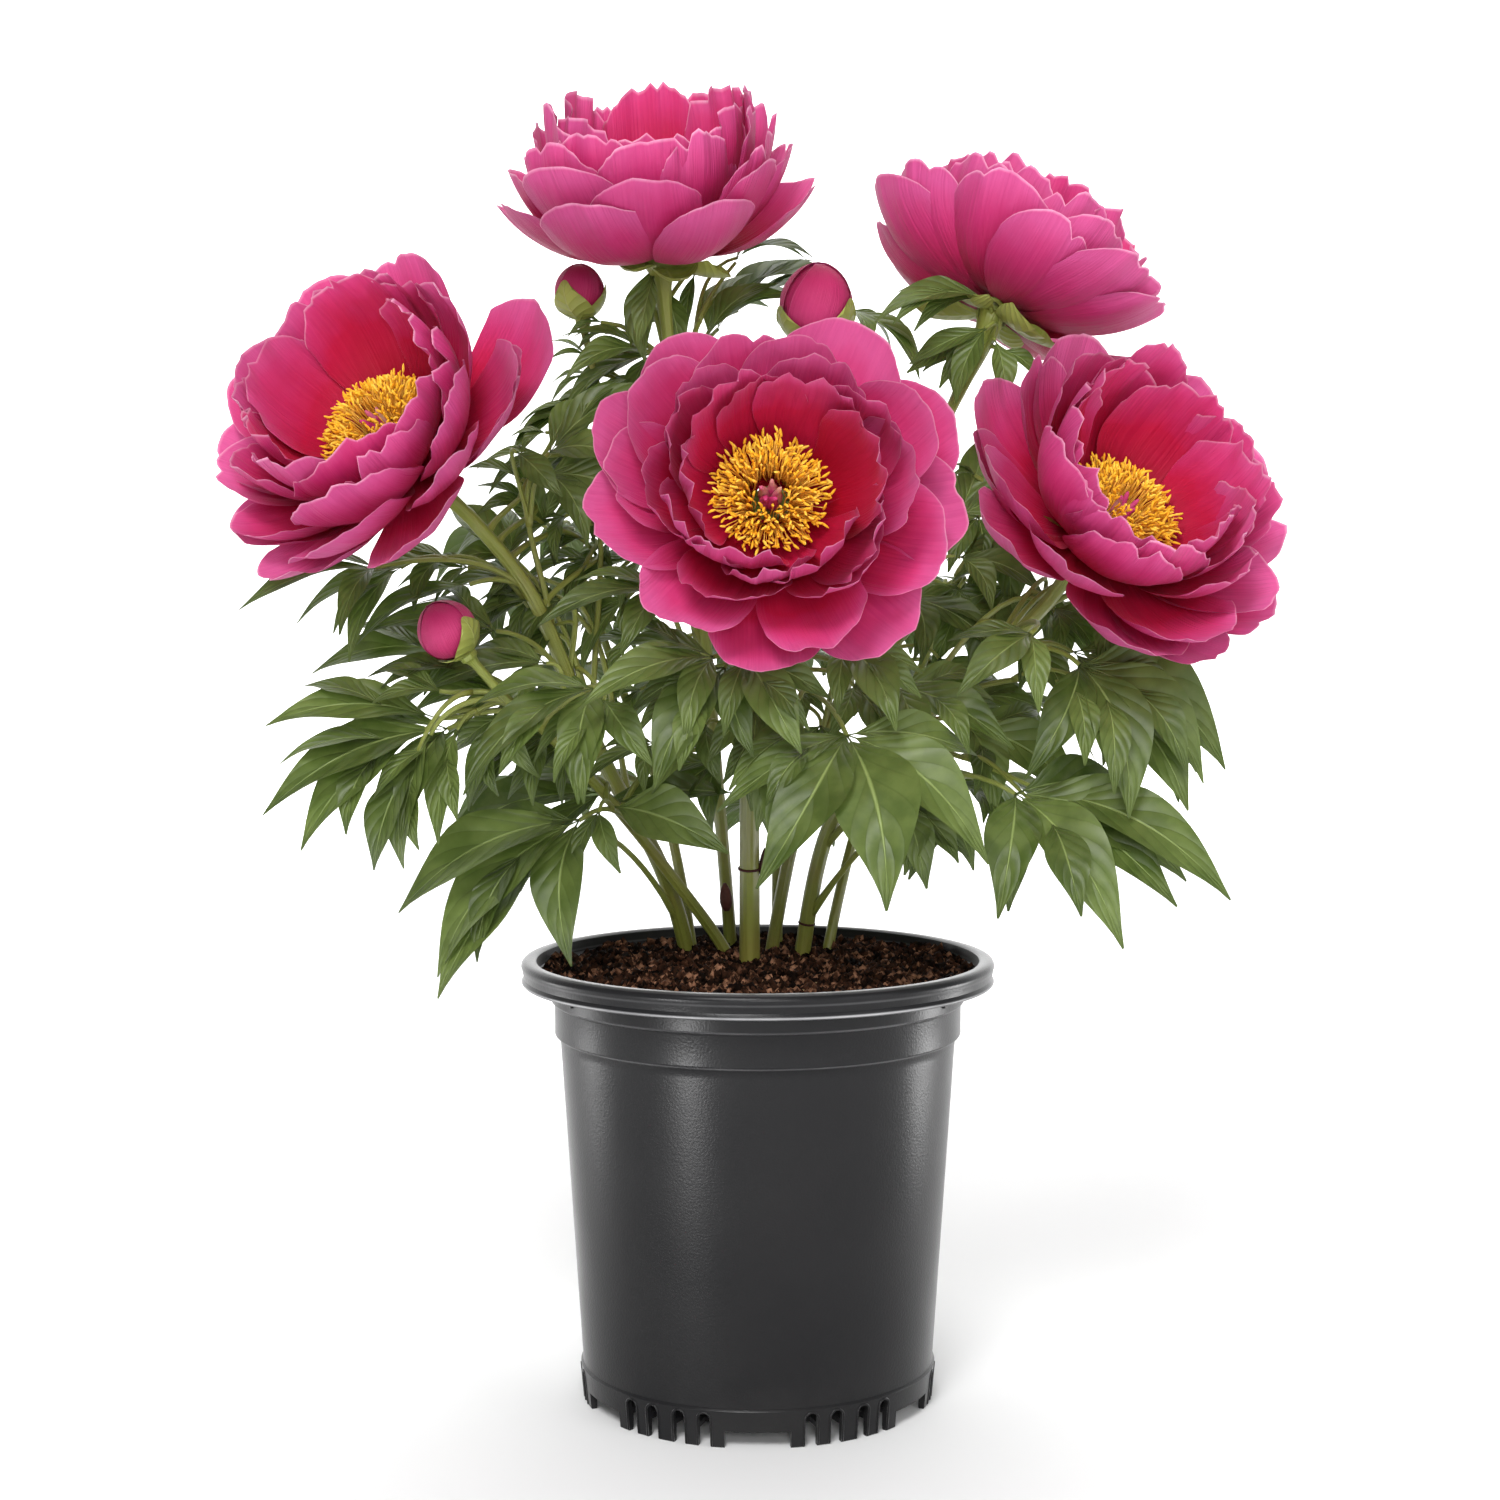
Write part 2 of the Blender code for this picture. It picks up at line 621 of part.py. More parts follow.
def leaflet_group(start, hub, tip, lobes, thick):
    """A leaflet group and its stalk as one thin body.

    The stalk leaves its start on the rise and ends in the hub, and from the hub the lobes spread,
    bowed, drooping and folded along their midribs.
    """
    length = (tip - hub).length
    ahead = (tip - hub).normalized()
    face = UP + leaf_lean(hub)
    normal = (face - ahead * face.dot(ahead)).normalized()
    aside = normal.cross(ahead)
    half_lift = normal * LEAF_THICKNESS / 2

    def spread_point(angle, distance, share, size):
        """A point on the midrib of a lobe that leaves the hub at an angle."""
        way = ahead * math.cos(angle) + aside * math.sin(angle)
        rise = size * (4 * LOBE_BOW * share * (1 - share) - LOBE_DROP * abs(angle) * share**2)
        return hub + way * distance + normal * rise

    spread = math.radians(LOBE_SPREAD[lobes])
    angles = [spread * (2 * i / max(lobes - 1, 1) - 1) if lobes > 1 else 0.0 for i in range(lobes)]
    sizes = [length * (1 - SIDE_LOBE_LOSS * (abs(a) / max(spread, 0.5)) ** 1.5) for a in angles]
    outer = math.radians(OUTER_ANGLE)
    partings = [(angles[0] - outer, OUTER_PARTING)]
    partings += [((angles[i] + angles[i + 1]) / 2, LOBE_PARTING) for i in range(lobes - 1)]
    partings += [(angles[-1] + outer, OUTER_PARTING)]
    path = stalk_path(start, hub, ahead)
    points = []
    for index, point in enumerate(path[:-1]):
        along = (path[index + 1] - point).normalized()
        over = (normal - along * normal.dot(along)).normalized()
        side = over.cross(along)
        reach = thick * (1 - 0.35 * index / (len(path) - 1))
        points += [point + side * reach, point + over * reach, point - side * reach]
    faces = in_triangles(ring_faces(len(path) - 1, STALK_SIDES)) + [(0, 2, 1)]
    neck = len(points) - STALK_SIDES
    top = len(points)
    points += [hub + half_lift, hub - half_lift]
    clefts = []
    for angle, share in partings:
        clefts.append(len(points))
        points.append(spread_point(angle, share * length, share, length))
    ahead_of_neck = (clefts[-1], top, clefts[0])
    for side in (0, 1):
        faces.append((neck + side, neck + side + 1, ahead_of_neck[side + 1]))
        faces.append((neck + side, ahead_of_neck[side + 1], ahead_of_neck[side]))
    faces.append((neck + 2, neck, top + 1))
    faces.append((neck + 2, top + 1, clefts[0]))
    faces.append((neck, clefts[-1], top + 1))

    stations = LARGE_STATIONS if length > LARGE_LEAF else SMALL_STATIONS
    for index in range(lobes):
        angle, size = angles[index], sizes[index]
        across = (aside * math.cos(angle) - ahead * math.sin(angle))
        ribs, lefts, rights = [], [], []
        for s in stations:
            middle = spread_point(angle, s * size, s, size)
            reach = LOBE_HALF_WIDTH * size * lobe_width(s)
            edge = normal * LOBE_FOLD * reach
            ribs.append(len(points))
            points += [middle + half_lift, middle - half_lift]
            rights.append(len(points))
            points.append(middle - across * reach + edge)
            lefts.append(len(points))
            points.append(middle + across * reach + edge)
        end = len(points)
        points.append(spread_point(angle, size, 1.0, size))
        for below in (0, 1):
            spine = [top + below] + [rib + below for rib in ribs] + [end]
            side = []
            for cleft, edges in ((clefts[index], rights), (clefts[index + 1], lefts)):
                rim = [cleft] + edges
                part = [(spine[0], rim[0], spine[1])]
                for k in range(len(edges)):
                    part.append((rim[k], rim[k + 1], spine[k + 1]))
                    if k + 1 < len(edges):
                        part.append((spine[k + 1], rim[k + 1], spine[k + 2]))
                part.append((spine[-2], rim[-1], end))
                side.append(part)
            right, left = side
            left = [tuple(reversed(face)) for face in left]
            for face in right + left:
                faces.append(tuple(reversed(face)) if below else face)
    return points, faces


def leaf_lean(hub):
    """How far a leaf's face leans from level: out from the middle, and to the light in front."""
    out = Vector((hub.x, hub.y - CROWN_Y, 0)).normalized()
    front = max(0.0, min(1.0, (FRONT_FROM - hub.y) / FRONT_DEPTH))
    return out * LEAN_OUT - Vector((0, LEAN_FORWARD, 0)) * front


def stalk_path(start, end, ahead):
    """The points of a stalk that leaves a stem on the rise and comes to its hub in line with it."""
    span = (end - start).length
    rise = ((end - start).normalized() + UP * STALK_RISE).normalized()
    run = (start, start + rise * span * STALK_PULL, end - ahead * span * STALK_PULL, end)
    steps = STALK_STEPS if span > LONG_STALK else STALK_STEPS - 1
    return [bezier(run, step / steps) for step in range(steps)] + [end - ahead * NECK, end]


def on_path(path, share):
    """The point at a share of a path's steps."""
    place = share * (len(path) - 1)
    index = min(int(place), len(path) - 2)
    return path[index].lerp(path[index + 1], place - index)


def leaf(path, share, groups):
    """A leaf's shapes: a stalk to its first leaflet group, and branches from it to the others."""
    shapes = []
    start, thick = on_path(path, share), STALK_RADIUS
    for hub, tip, lobes in groups:
        hub, tip = Vector(hub) * MM, Vector(tip) * MM
        shapes.append(leaflet_group(start, hub, tip, lobes, thick))
        if len(shapes) == 1:
            main = stalk_path(start, hub, (tip - hub).normalized())
            start, thick = on_path(main, BRANCHING), STALK_RADIUS * 0.8
    return shapes


def open_leaf(start, heading, reach, rise, length):
    """The leaflet groups, in millimetres, of a whole leaf that heads away from its stem."""
    out = Vector((math.cos(math.radians(heading)), math.sin(math.radians(heading)), 0))
    aside = Vector((-out.y, out.x, 0))
    hub = start / MM + out * reach + UP * rise
    groups = [(hub, hub + (out - UP * OPEN_DROOP) * length, 3)]
    for hand in (-1, 1):
        side = hub + (aside * hand * 0.9 - out) * length * OPEN_BACK
        way = (out * 0.45 + aside * hand * 0.9).normalized()
        groups.append((side, side + (way - UP * OPEN_DROOP) * length * OPEN_SIDE, 3))
    return groups


def stem_path(name):
    """The points along a stem, from its foot in the soil to its top."""
    knots = [Vector(knot) * MM for knot in STEMS[name][-1]]
    foot = Vector((knots[0].x, knots[0].y, HOLE_BOTTOM + GAP))
    return [foot] + smooth_path(knots, 2)


def stalk(path, foot_radius, top_radius, flower, sides):
    """A tapering stalk, which widens to a calyx under the flower that it carries."""
    path = list(path)
    count = len(path)
    radii = [MM * (foot_radius + (top_radius - foot_radius) * i / (count - 1)) for i in range(count)]
    if flower:
        base, facing = Vector(flower["base"]) * MM, Vector(flower["facing"]).normalized()
        size = flower["size"] * MM
        path += [base - facing * depth * size for depth in CALYX_DEPTHS] + [base - facing * GAP]
        radii += [top_radius * MM] + [radius * size for radius in CALYX_RADII]
    return tube(path, radii, sides)


def stem_shapes(name):
    """A leafy stem's shapes: the stem, its side shoot, the sepals that each ends in, its leaves."""
    foot_radius, top_radius, flower, _ = STEMS[name]
    path = stem_path(name)
    shapes = [stalk(path, foot_radius, top_radius, flower, STEM_SIDES)]
    if flower:
        shapes += sepals(flower)
    if name in SHOOTS:
        share, bud, knots = SHOOTS[name]
        shoot = smooth_path([on_path(path, share)] + [Vector(knot) * MM for knot in knots], 2)
        shapes.append(stalk(shoot, SHOOT_RADIUS, SHOOT_RADIUS, bud, SHOOT_SIDES))
        shapes += sepals(bud)
    for share, groups in LEAVES.get(name, ()):
        shapes += leaf(path, share, groups)
    for share, heading, reach, rise, length in OPEN_LEAVES.get(name, ()):
        shapes += leaf(path, share, open_leaf(on_path(path, share), heading, reach, rise, length))
    return shapes


def wall_radius(height):
    """The pot's outer radius on its tapering wall."""
    return FOOT_RADIUS + (WALL_TOP_RADIUS - FOOT_RADIUS) * height / BAND_HEIGHT


def inner_outline(clearance):
    """The pot's inside from the mouth down to the floor, as (radius, height), drawn in by a clearance."""
    return [
        (MOUTH_RADIUS - 0.0008 - clearance, SOIL_TOP + 0.0015 + clearance),
        (LEDGE_RADIUS - 0.0005 - clearance, SOIL_TOP - 0.0011 + clearance),
        (LEDGE_RADIUS - WALL - clearance, SOIL_TOP - 0.0045),
        (WALL_TOP_RADIUS - WALL - clearance, BAND_HEIGHT),
        (wall_radius(FLOOR_TOP) - WALL - clearance, FLOOR_TOP + clearance),
    ]


def build_pot():
    """The pot: a turned shell with a floor, then the cuts in its foot."""
    lip_low = POT_HEIGHT - LIP_DEPTH
    outline = [
        (0, FLOOR_TOP - FLOOR),
        (FOOT_RADIUS - WALL, FLOOR_TOP - FLOOR),
        (FOOT_RADIUS - WALL, 0),
        (FOOT_RADIUS + SKIRT_STEP * 0.6, 0),
        (wall_radius(SKIRT_HEIGHT) + SKIRT_STEP, SKIRT_HEIGHT),
        (wall_radius(SKIRT_HEIGHT) + 0.0001, SKIRT_HEIGHT + SKIRT_STEP),
        (WALL_TOP_RADIUS, BAND_HEIGHT - 0.0006),
        (BAND_RADIUS, BAND_HEIGHT + 0.0020),
        (BAND_RADIUS, LEDGE_HEIGHT - 0.0010),
        (LEDGE_RADIUS, LEDGE_HEIGHT + 0.0010),
        (LEDGE_RADIUS, lip_low + 0.0010),
        (LIP_RADIUS - 0.0030, lip_low),
        (LIP_RADIUS, POT_HEIGHT - 0.0060),
        (LIP_RADIUS - 0.0030, POT_HEIGHT - 0.0005),
        (MOUTH_RADIUS + 0.0010, POT_HEIGHT),
        *inner_outline(0),
        (0, FLOOR_TOP),
    ]
    pot = add_object("pot", lathe(outline, POT_SIDES), "pot")
    cutters = []
    for gap in range(GAP_COUNT):
        middle = 360 * gap / GAP_COUNT - 90
        cutters.append(gap_cutter(middle))
        cutters += [slot_cutter(middle + angle) for angle in SLOT_ANGLES]
    apply_boolean(pot, cutters, "DIFFERENCE", "EXACT")
    pot.data.shade_smooth()
    pot.data.set_sharp_from_angle(angle=math.radians(35))


def gap_cutter(middle):
    """A wedge that cuts one wide gap in the pot's foot."""
    corners = []
    for height in (-CUT_BELOW, GAP_HEIGHT):
        for hand, reach in ((-1, CUT_INNER), (-1, CUT_OUTER), (1, CUT_OUTER), (1, CUT_INNER)):
            turn = math.radians(middle + hand * GAP_HALF_ANGLE)
            corners.append((reach * math.cos(turn), reach * math.sin(turn), height))
    faces = [(3, 2, 1, 0), (4, 5, 6, 7), (0, 1, 5, 4), (1, 2, 6, 5), (2, 3, 7, 6), (3, 0, 4, 7)]
    return add_object("gap", (corners, faces), "pot")


def slot_cutter(middle):
    """A bar with a round top that cuts one narrow slot through the pot's foot and wall."""
    shoulder = SLOT_HEIGHT - SLOT_HALF_WIDTH * 0.9
    profile = [
        (-SLOT_HALF_WIDTH, -CUT_BELOW),
        (SLOT_HALF_WIDTH, -CUT_BELOW),
        (SLOT_HALF_WIDTH, shoulder),
        (0, SLOT_HEIGHT),
        (-SLOT_HALF_WIDTH, shoulder),
    ]
    turn = Matrix.Rotation(math.radians(middle), 3, "Z")
    reaches = (CUT_INNER, CUT_OUTER)
    corners = [turn @ Vector((reach, across, height)) for reach in reaches for across, height in profile]
    count = len(profile)
    faces = [tuple(range(count - 1, -1, -1)), tuple(range(count, 2 * count))]
    faces += [(i, (i + 1) % count, count + (i + 1) % count, count + i) for i in range(count)]
    return add_object("slot", (corners, faces), "pot")


def build_soil():
    """The soil: a body that fills the pot, a bumpy top and a plain hole for each stem."""
    draw = random.Random(7)
    body = list(reversed(inner_outline(GAP)))
    outline = body + [(radius, SOIL_TOP) for radius in SOIL_RINGS] + [(0, SOIL_TOP)]
    points, faces = lathe([(0, body[0][1])] + outline, SOIL_SIDES)
    first_top = (len(body)) * SOIL_SIDES
    for index in range(first_top, len(points) - 2):
        x, y, z = points[index]
        points[index] = (x, y, z + draw.uniform(-SOIL_BUMP, SOIL_BUMP))
    soil = add_object("soil", (points, faces), "soil")
    above = SOIL_TOP + 0.02
    cutters = []
    for foot_radius, _, _, knots in STEMS.values():
        foot = Vector(knots[0]) * MM
        reach = foot_radius * MM + HOLE_SLACK
        path = [Vector((foot.x, foot.y, HOLE_BOTTOM)), Vector((foot.x, foot.y, above))]
        cutters.append(add_object("hole", tube(path, [reach, reach], STEM_SIDES), "soil"))
    apply_boolean(soil, cutters, "DIFFERENCE", "EXACT")


def main():
    """Builds the whole plant in an emptied scene."""
    for thing in list(bpy.data.objects):
        bpy.data.objects.remove(thing)
    build_pot()
    build_soil()
    for name in STEMS:
        fuse("stem_" + name, stem_shapes(name), "leaf")
    for name, flower in BLOOMS.items():
        build_bloom(name, flower)
    for name, flower in BUDS.items():
        build_bud(name, flower)


main()
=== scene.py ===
"""The looks of a potted peony: fine petals, stamens, leaves, soil and pot around its solids.

Metres, +Z up, in the frame of the solids: the origin is the middle of the pot's foot, and the
front of the plant is towards -Y. The plant's own points are written in millimetres.
"""

import math
import random

import bpy
from mathutils import Matrix, Vector, noise


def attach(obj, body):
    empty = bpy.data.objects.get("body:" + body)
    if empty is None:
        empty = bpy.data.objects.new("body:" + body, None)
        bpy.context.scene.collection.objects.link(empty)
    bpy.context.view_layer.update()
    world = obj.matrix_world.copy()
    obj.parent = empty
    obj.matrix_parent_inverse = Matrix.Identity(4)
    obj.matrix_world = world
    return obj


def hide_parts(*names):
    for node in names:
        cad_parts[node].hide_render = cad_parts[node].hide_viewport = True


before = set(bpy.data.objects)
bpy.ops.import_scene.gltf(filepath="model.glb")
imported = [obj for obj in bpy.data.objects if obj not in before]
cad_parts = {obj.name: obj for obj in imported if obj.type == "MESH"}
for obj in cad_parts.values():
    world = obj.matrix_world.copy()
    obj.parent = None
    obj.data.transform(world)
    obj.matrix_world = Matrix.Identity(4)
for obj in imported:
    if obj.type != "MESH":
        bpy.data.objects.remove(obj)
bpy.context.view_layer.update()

MM = 0.001
UP = Vector((0, 0, 1))
FRONT = Vector((0, -1, 0))

# The pot, as the solids have it
POT_HEIGHT = 0.216
LIP_RADIUS = 0.115
LIP_DEPTH = 0.0117
MOUTH_RADIUS = 0.1074
LEDGE_RADIUS = 0.1005
LEDGE_HEIGHT = 0.1958
BAND_RADIUS = 0.0988
BAND_HEIGHT = 0.1790
WALL_TOP_RADIUS = 0.0962
FOOT_RADIUS = 0.0845
WALL = 0.0022
FLOOR_TOP = 0.0105
FLOOR = 0.0025
SKIRT_HEIGHT = 0.0180
SKIRT_STEP = 0.0012
GAP_COUNT = 6
GAP_HALF_ANGLE = 10.4
GAP_HEIGHT = 0.0079
SLOT_ANGLES = (16.8, 25.2, 34.8, 43.2)
SLOT_HALF_WIDTH = 0.0031
SLOT_HEIGHT = 0.0165
CUT_INNER = 0.074
CUT_OUTER = 0.094
# What the fine pot adds: its sides, how far the skirt's foot stands out, where the cutters of the
# foot start, the widest angle that is shaded smooth, and the rims round the slots: radius, sides,
# distance from the slot, and foot
POT_SIDES = 180
SKIRT_FOOT_STEP = 0.0007
CUT_LOW = -0.002
SMOOTH_ANGLE = 32
RIM_RADIUS = 0.00055
RIM_SIDES = 6
RIM_GAP = 0.0003
RIM_LOW = 0.0006
# Painted highlights: pale bands along the ledges' edges, the lip's lower edge and the lip's outer face:
# height, and how strongly
PAINTED_HIGHLIGHT_BANDS = ((0.1791, 0.30), (0.1959, 0.24), (0.2053, 0.95), (0.2110, 0.12), (0.2158, 0.16))
PAINTED_HIGHLIGHT_HALF_WIDTH = 0.0009
# Small upright lugs under the lip: their turns, half width, foot, top and how far they stand out
LUG_TURNS = (-30, -150, 90)
LUG_HALF_WIDTH = 0.0013
LUG_LOW = 0.1992
LUG_HIGH = 0.2046
LUG_OUT = 0.0011

# The soil: the height of the solid's top, how far the fine top sinks into it, the rise of its
# middle, its radius, where and how far it is banked up to the lip, its lumps and fine lumps, and
# its grid, whose rings crowd towards the outside
SOIL_TOP = 0.2085
SOIL_SINK = 0.0004
SOIL_DOME = 0.0018
SOIL_RADIUS = 0.1055
BANK_FROM = 0.0960
BANK_RISE = 0.0026
SOIL_RELIEF = 0.0030
FINE_RELIEF = 0.0006
SOIL_RINGS = 54
SOIL_SIDES = 120
RING_CROWDING = 0.8
# Crumbs: how many, the smallest, how much larger the largest is and how rare it is, and the share
# of its size that one stands proud by
CRUMBS = 11000
SMALLEST_CRUMB = 0.0008
CRUMB_GROWTH = 0.0018
CRUMB_RARITY = 1.8
CRUMB_PROUD = 0.35
CRUMB_AXES = ((1, 0, 0), (-1, 0, 0), (0, 1, 0), (0, -1, 0), (0, 0, 1), (0, 0, -1))
CRUMB_FACES = (
    (0, 2, 4), (2, 1, 4), (1, 3, 4), (3, 0, 4), (2, 0, 5), (1, 2, 5), (3, 1, 5), (0, 3, 5),
)
# Bits of straw: how many, their lengths, bow, radii, height over the soil, and steps
STRAWS = 26
STRAW_LENGTHS = (0.005, 0.014)
STRAW_BOW = 0.003
STRAW_RADII = (0.0002, 0.0005)
STRAW_LIFT = 0.0008
STRAW_STEPS = 6

# Leaves, as the solids have them: how far a lobe bows and its edges lift, how many degrees the
# outermost lobe turns by how many lobes there are, and how much shorter it is. A stalk's radius, how
# steeply it leaves the stem, how straight it runs at its ends, and where its branches leave it. The
# middle that the leaves lean out from, how far, and how far those in front lean to the light
LOBE_BOW = 0.10
LOBE_FOLD = 0.30
LOBE_SPREAD = {1: 0, 2: 21, 3: 42, 4: 60, 5: 80}
SIDE_LOBE_LOSS = 0.30
STALK_RADIUS = 0.0017
STALK_RISE = 0.7
STALK_PULL = 0.35
BRANCHING = 0.55
CROWN_Y = 0.05
LEAN_OUT = 0.35
LEAN_FORWARD = 0.75
FRONT_FROM = 0.09
FRONT_DEPTH = 0.06

# What the fine leaves add: half width of a lobe as a share of its length, how widely the lobes
# open, where the blade starts on its stalk, how many lobes fork, from where and how widely, how far
# the side lobes drop, a lobe's twist and waves, the droop of its tip, and the grid of its blade
LOBE_HALF_WIDTH = 0.172
LOBE_OPENING = 0.92
LOBE_FOOT = 0.06
FORK_SHARE = 0.50
FORK_START = 0.34
FORK_ANGLE = 0.36
LOBE_DROP = 0.20
LOBE_TWIST = 0.22
LOBE_WAVE = 0.09
LOBE_TIP_DROOP = 0.14
LOBE_ROWS = 16
LOBE_COLUMNS = 8
# How lobes differ: size, width, twist, and the bend of the rib, to which a lobe's angle adds its
# sweep. Then the least half width, the waves along an edge in radians, the shortest lobe that
# forks, the size of its fork and how far under it the fork starts
LOBE_SIZES = (0.92, 1.03)
LOBE_WIDTHS = (0.85, 1.18)
LOBE_TWISTS = (0.4, 1.6)
LOBE_BEND = 0.12
LOBE_SWEEP = 0.10
LEAST_HALF_WIDTH = 0.0005
EDGE_WAVES = 9
SHORTEST_FORKED = 0.045
FORK_SIZES = (0.52, 0.62)
FORK_DROP = 0.0006

# Stalks and stems: steps and sides of a leaf's stalk, how much thinner its branches are, where it
# starts between the stem's foot colour and its top colour, and a stem's steps and sides
STALK_STEPS = 12
STALK_SIDES = 8
BRANCH_THICKNESS = 0.8
STALK_COLOUR_FROM = 0.45
STEM_STEPS = 8
STEM_SIDES = 14
CALYX_STEPS = 6
# A stem's ring: how far its edges lie along the stem in millimetres, how much wider than the stem
# they are, and its sides. A resting bud's swelling from foot to tip, and its sides
RING_ALONG = (-0.7, -0.35, 0.35, 0.7)
RING_GROWN = (0.9, 1.05, 1.05, 0.9)
RING_SIDES = 18
RESTING_SWELL = (0.45, 0.85, 1.0, 0.98, 0.86, 0.62, 0.25)
RESTING_SIDES = 12

# Petals, in millimetres from the middle of the underside of a bloom's heart. The tip: how far it
# rounds off, how square it is, how deep a notch may be, how far off its middle and half how wide,
# and the teeth of its edge as (depth, how many in a millimetre) for a petal of a usual length
TIP_ROUND = 0.31
TIP_SQUARENESS = 0.97
NOTCHES = (0.0, 0.0, 0.05, 0.09)
NOTCH_ASIDE = 0.45
NOTCH_HALF_WIDTH = 0.22
EDGE_TEETH = ((0.9, 0.13), (0.7, 0.37), (0.7, 0.8))
USUAL_LENGTH = 60
# How petals differ: skew and curl of the tip, cup, half width, length, and turn in degrees
PETAL_SKEW = 3
PETAL_CURL = 1.5
PETAL_CUPS = (0.85, 1.25)
PETAL_HALVES = (0.88, 1.06)
PETAL_LENGTHS = (0.95, 1.02)
PETAL_ASIDE = 5
# Where a tip starts to curl and what its curl is measured by, how many degrees round a bloom its
# longer petals reach, and the grids of a petal, which is finer towards its tip, and of a sepal
CURL_FROM = 0.62
CURL_SCALE = 0.144
LONGER_SPREAD = 28
PETAL_ROWS = 18
PETAL_COLUMNS = 28
TIP_CROWDING = 1.2
SEPAL_ROWS = 12
SEPAL_COLUMNS = 10

# Layers of petals from the outside in: the petal's middle line from foot to tip as a Bezier curve
# of (radius, height), half its width, the radius that it cups round, how far its edges lie out of
# line, how deep its waves and the frill of its edge are, how far its tip curls out, and how many
# degrees its petals nod up or down. The petals of the inner layers stand evenly round: count says
# how many there are and turn where the first one points
PETAL_LAYERS = (
    {"run": ((9, 1.6), (42, -7), (74, 4), (84, 30)),
     "half": 30, "cup": 46, "pinwheel": 4, "wave": 2.2, "frill": 0.3, "curl": 3.0, "nod": 5},
    {"run": ((9, 3.4), (40, -2), (68, 14), (77, 42)),
     "half": 29, "cup": 38, "pinwheel": 4, "wave": 2.2, "frill": 0.4, "curl": 1.0, "nod": 5},
    {"run": ((9, 5.2), (38, 1), (58, 22), (62, 56)), "count": 6, "turn": 8,
     "half": 29, "cup": 35, "pinwheel": 5, "wave": 2.0, "frill": 1.0, "curl": -2.0, "nod": 4},
    {"run": ((9, 6.1), (35, 3), (52, 27), (52, 61)), "count": 6, "turn": 33,
     "half": 28, "cup": 34, "pinwheel": 5, "wave": 2.0, "frill": 1.5, "curl": -3.0, "nod": 3},
    {"run": ((9, 7.0), (32, 5), (46, 32), (45, 65)), "count": 6, "turn": 5,
     "half": 29, "cup": 38, "pinwheel": 5, "wave": 1.8, "frill": 1.8, "curl": -4.0, "nod": 2},
)
SEPAL_LAYER = {"run": ((3, -2), (12, -5), (20, -8), (27, -4)), "half": 11, "cup": 12,
               "pinwheel": 0, "wave": 0.8, "frill": 0.0, "curl": 0.0, "nod": 6}

# Stamens, in the same millimetres: how many, the turn from one to the next in radians, and for the
# innermost and the outermost one the radius of the foot, the reach of the tip and its height (the
# outermost first); then the height of the feet, and a filament's steps, radius in metres and sides
STAMENS = 420
STAMEN_TURN = 2.39996
STAMEN_FOOT = (8.0, 12.5)
STAMEN_REACH = (6.2, 28.0)
STAMEN_HEIGHT = (20.0, 30.5)
STAMEN_FOOT_HEIGHT = 9
FILAMENT_STEPS = 4
FILAMENT_RADIUS = 0.00030
FILAMENT_SIDES = 4
# Anthers: length and how it differs, the share of it where the filament ends, and along it the
# places of its points and their radii
ANTHER_LENGTH = 4.4
ANTHER_LENGTHS = (0.75, 1.15)
ANTHER_HELD_AT = 0.35
ANTHER_PLACES = (0, 0.2, 0.5, 0.8, 1)
ANTHER_RADII = (0.22, 0.58, 0.66, 0.54, 0.20)
ANTHER_SIDES = 6
# Carpels: how many, each one's middle line as a Bezier curve of (outwards, aside, up), and radii
CARPELS = 5
CARPEL_RUN = ((2.6, 0, 8), (3.4, 0, 15), (2.6, 0, 21), (4.6, 1.4, 25.5))
CARPEL_RADII = (2.6, 2.8, 2.9, 2.8, 2.5, 2.1, 1.6, 1.2, 1.1, 0.5)
CARPEL_SIDES = 10

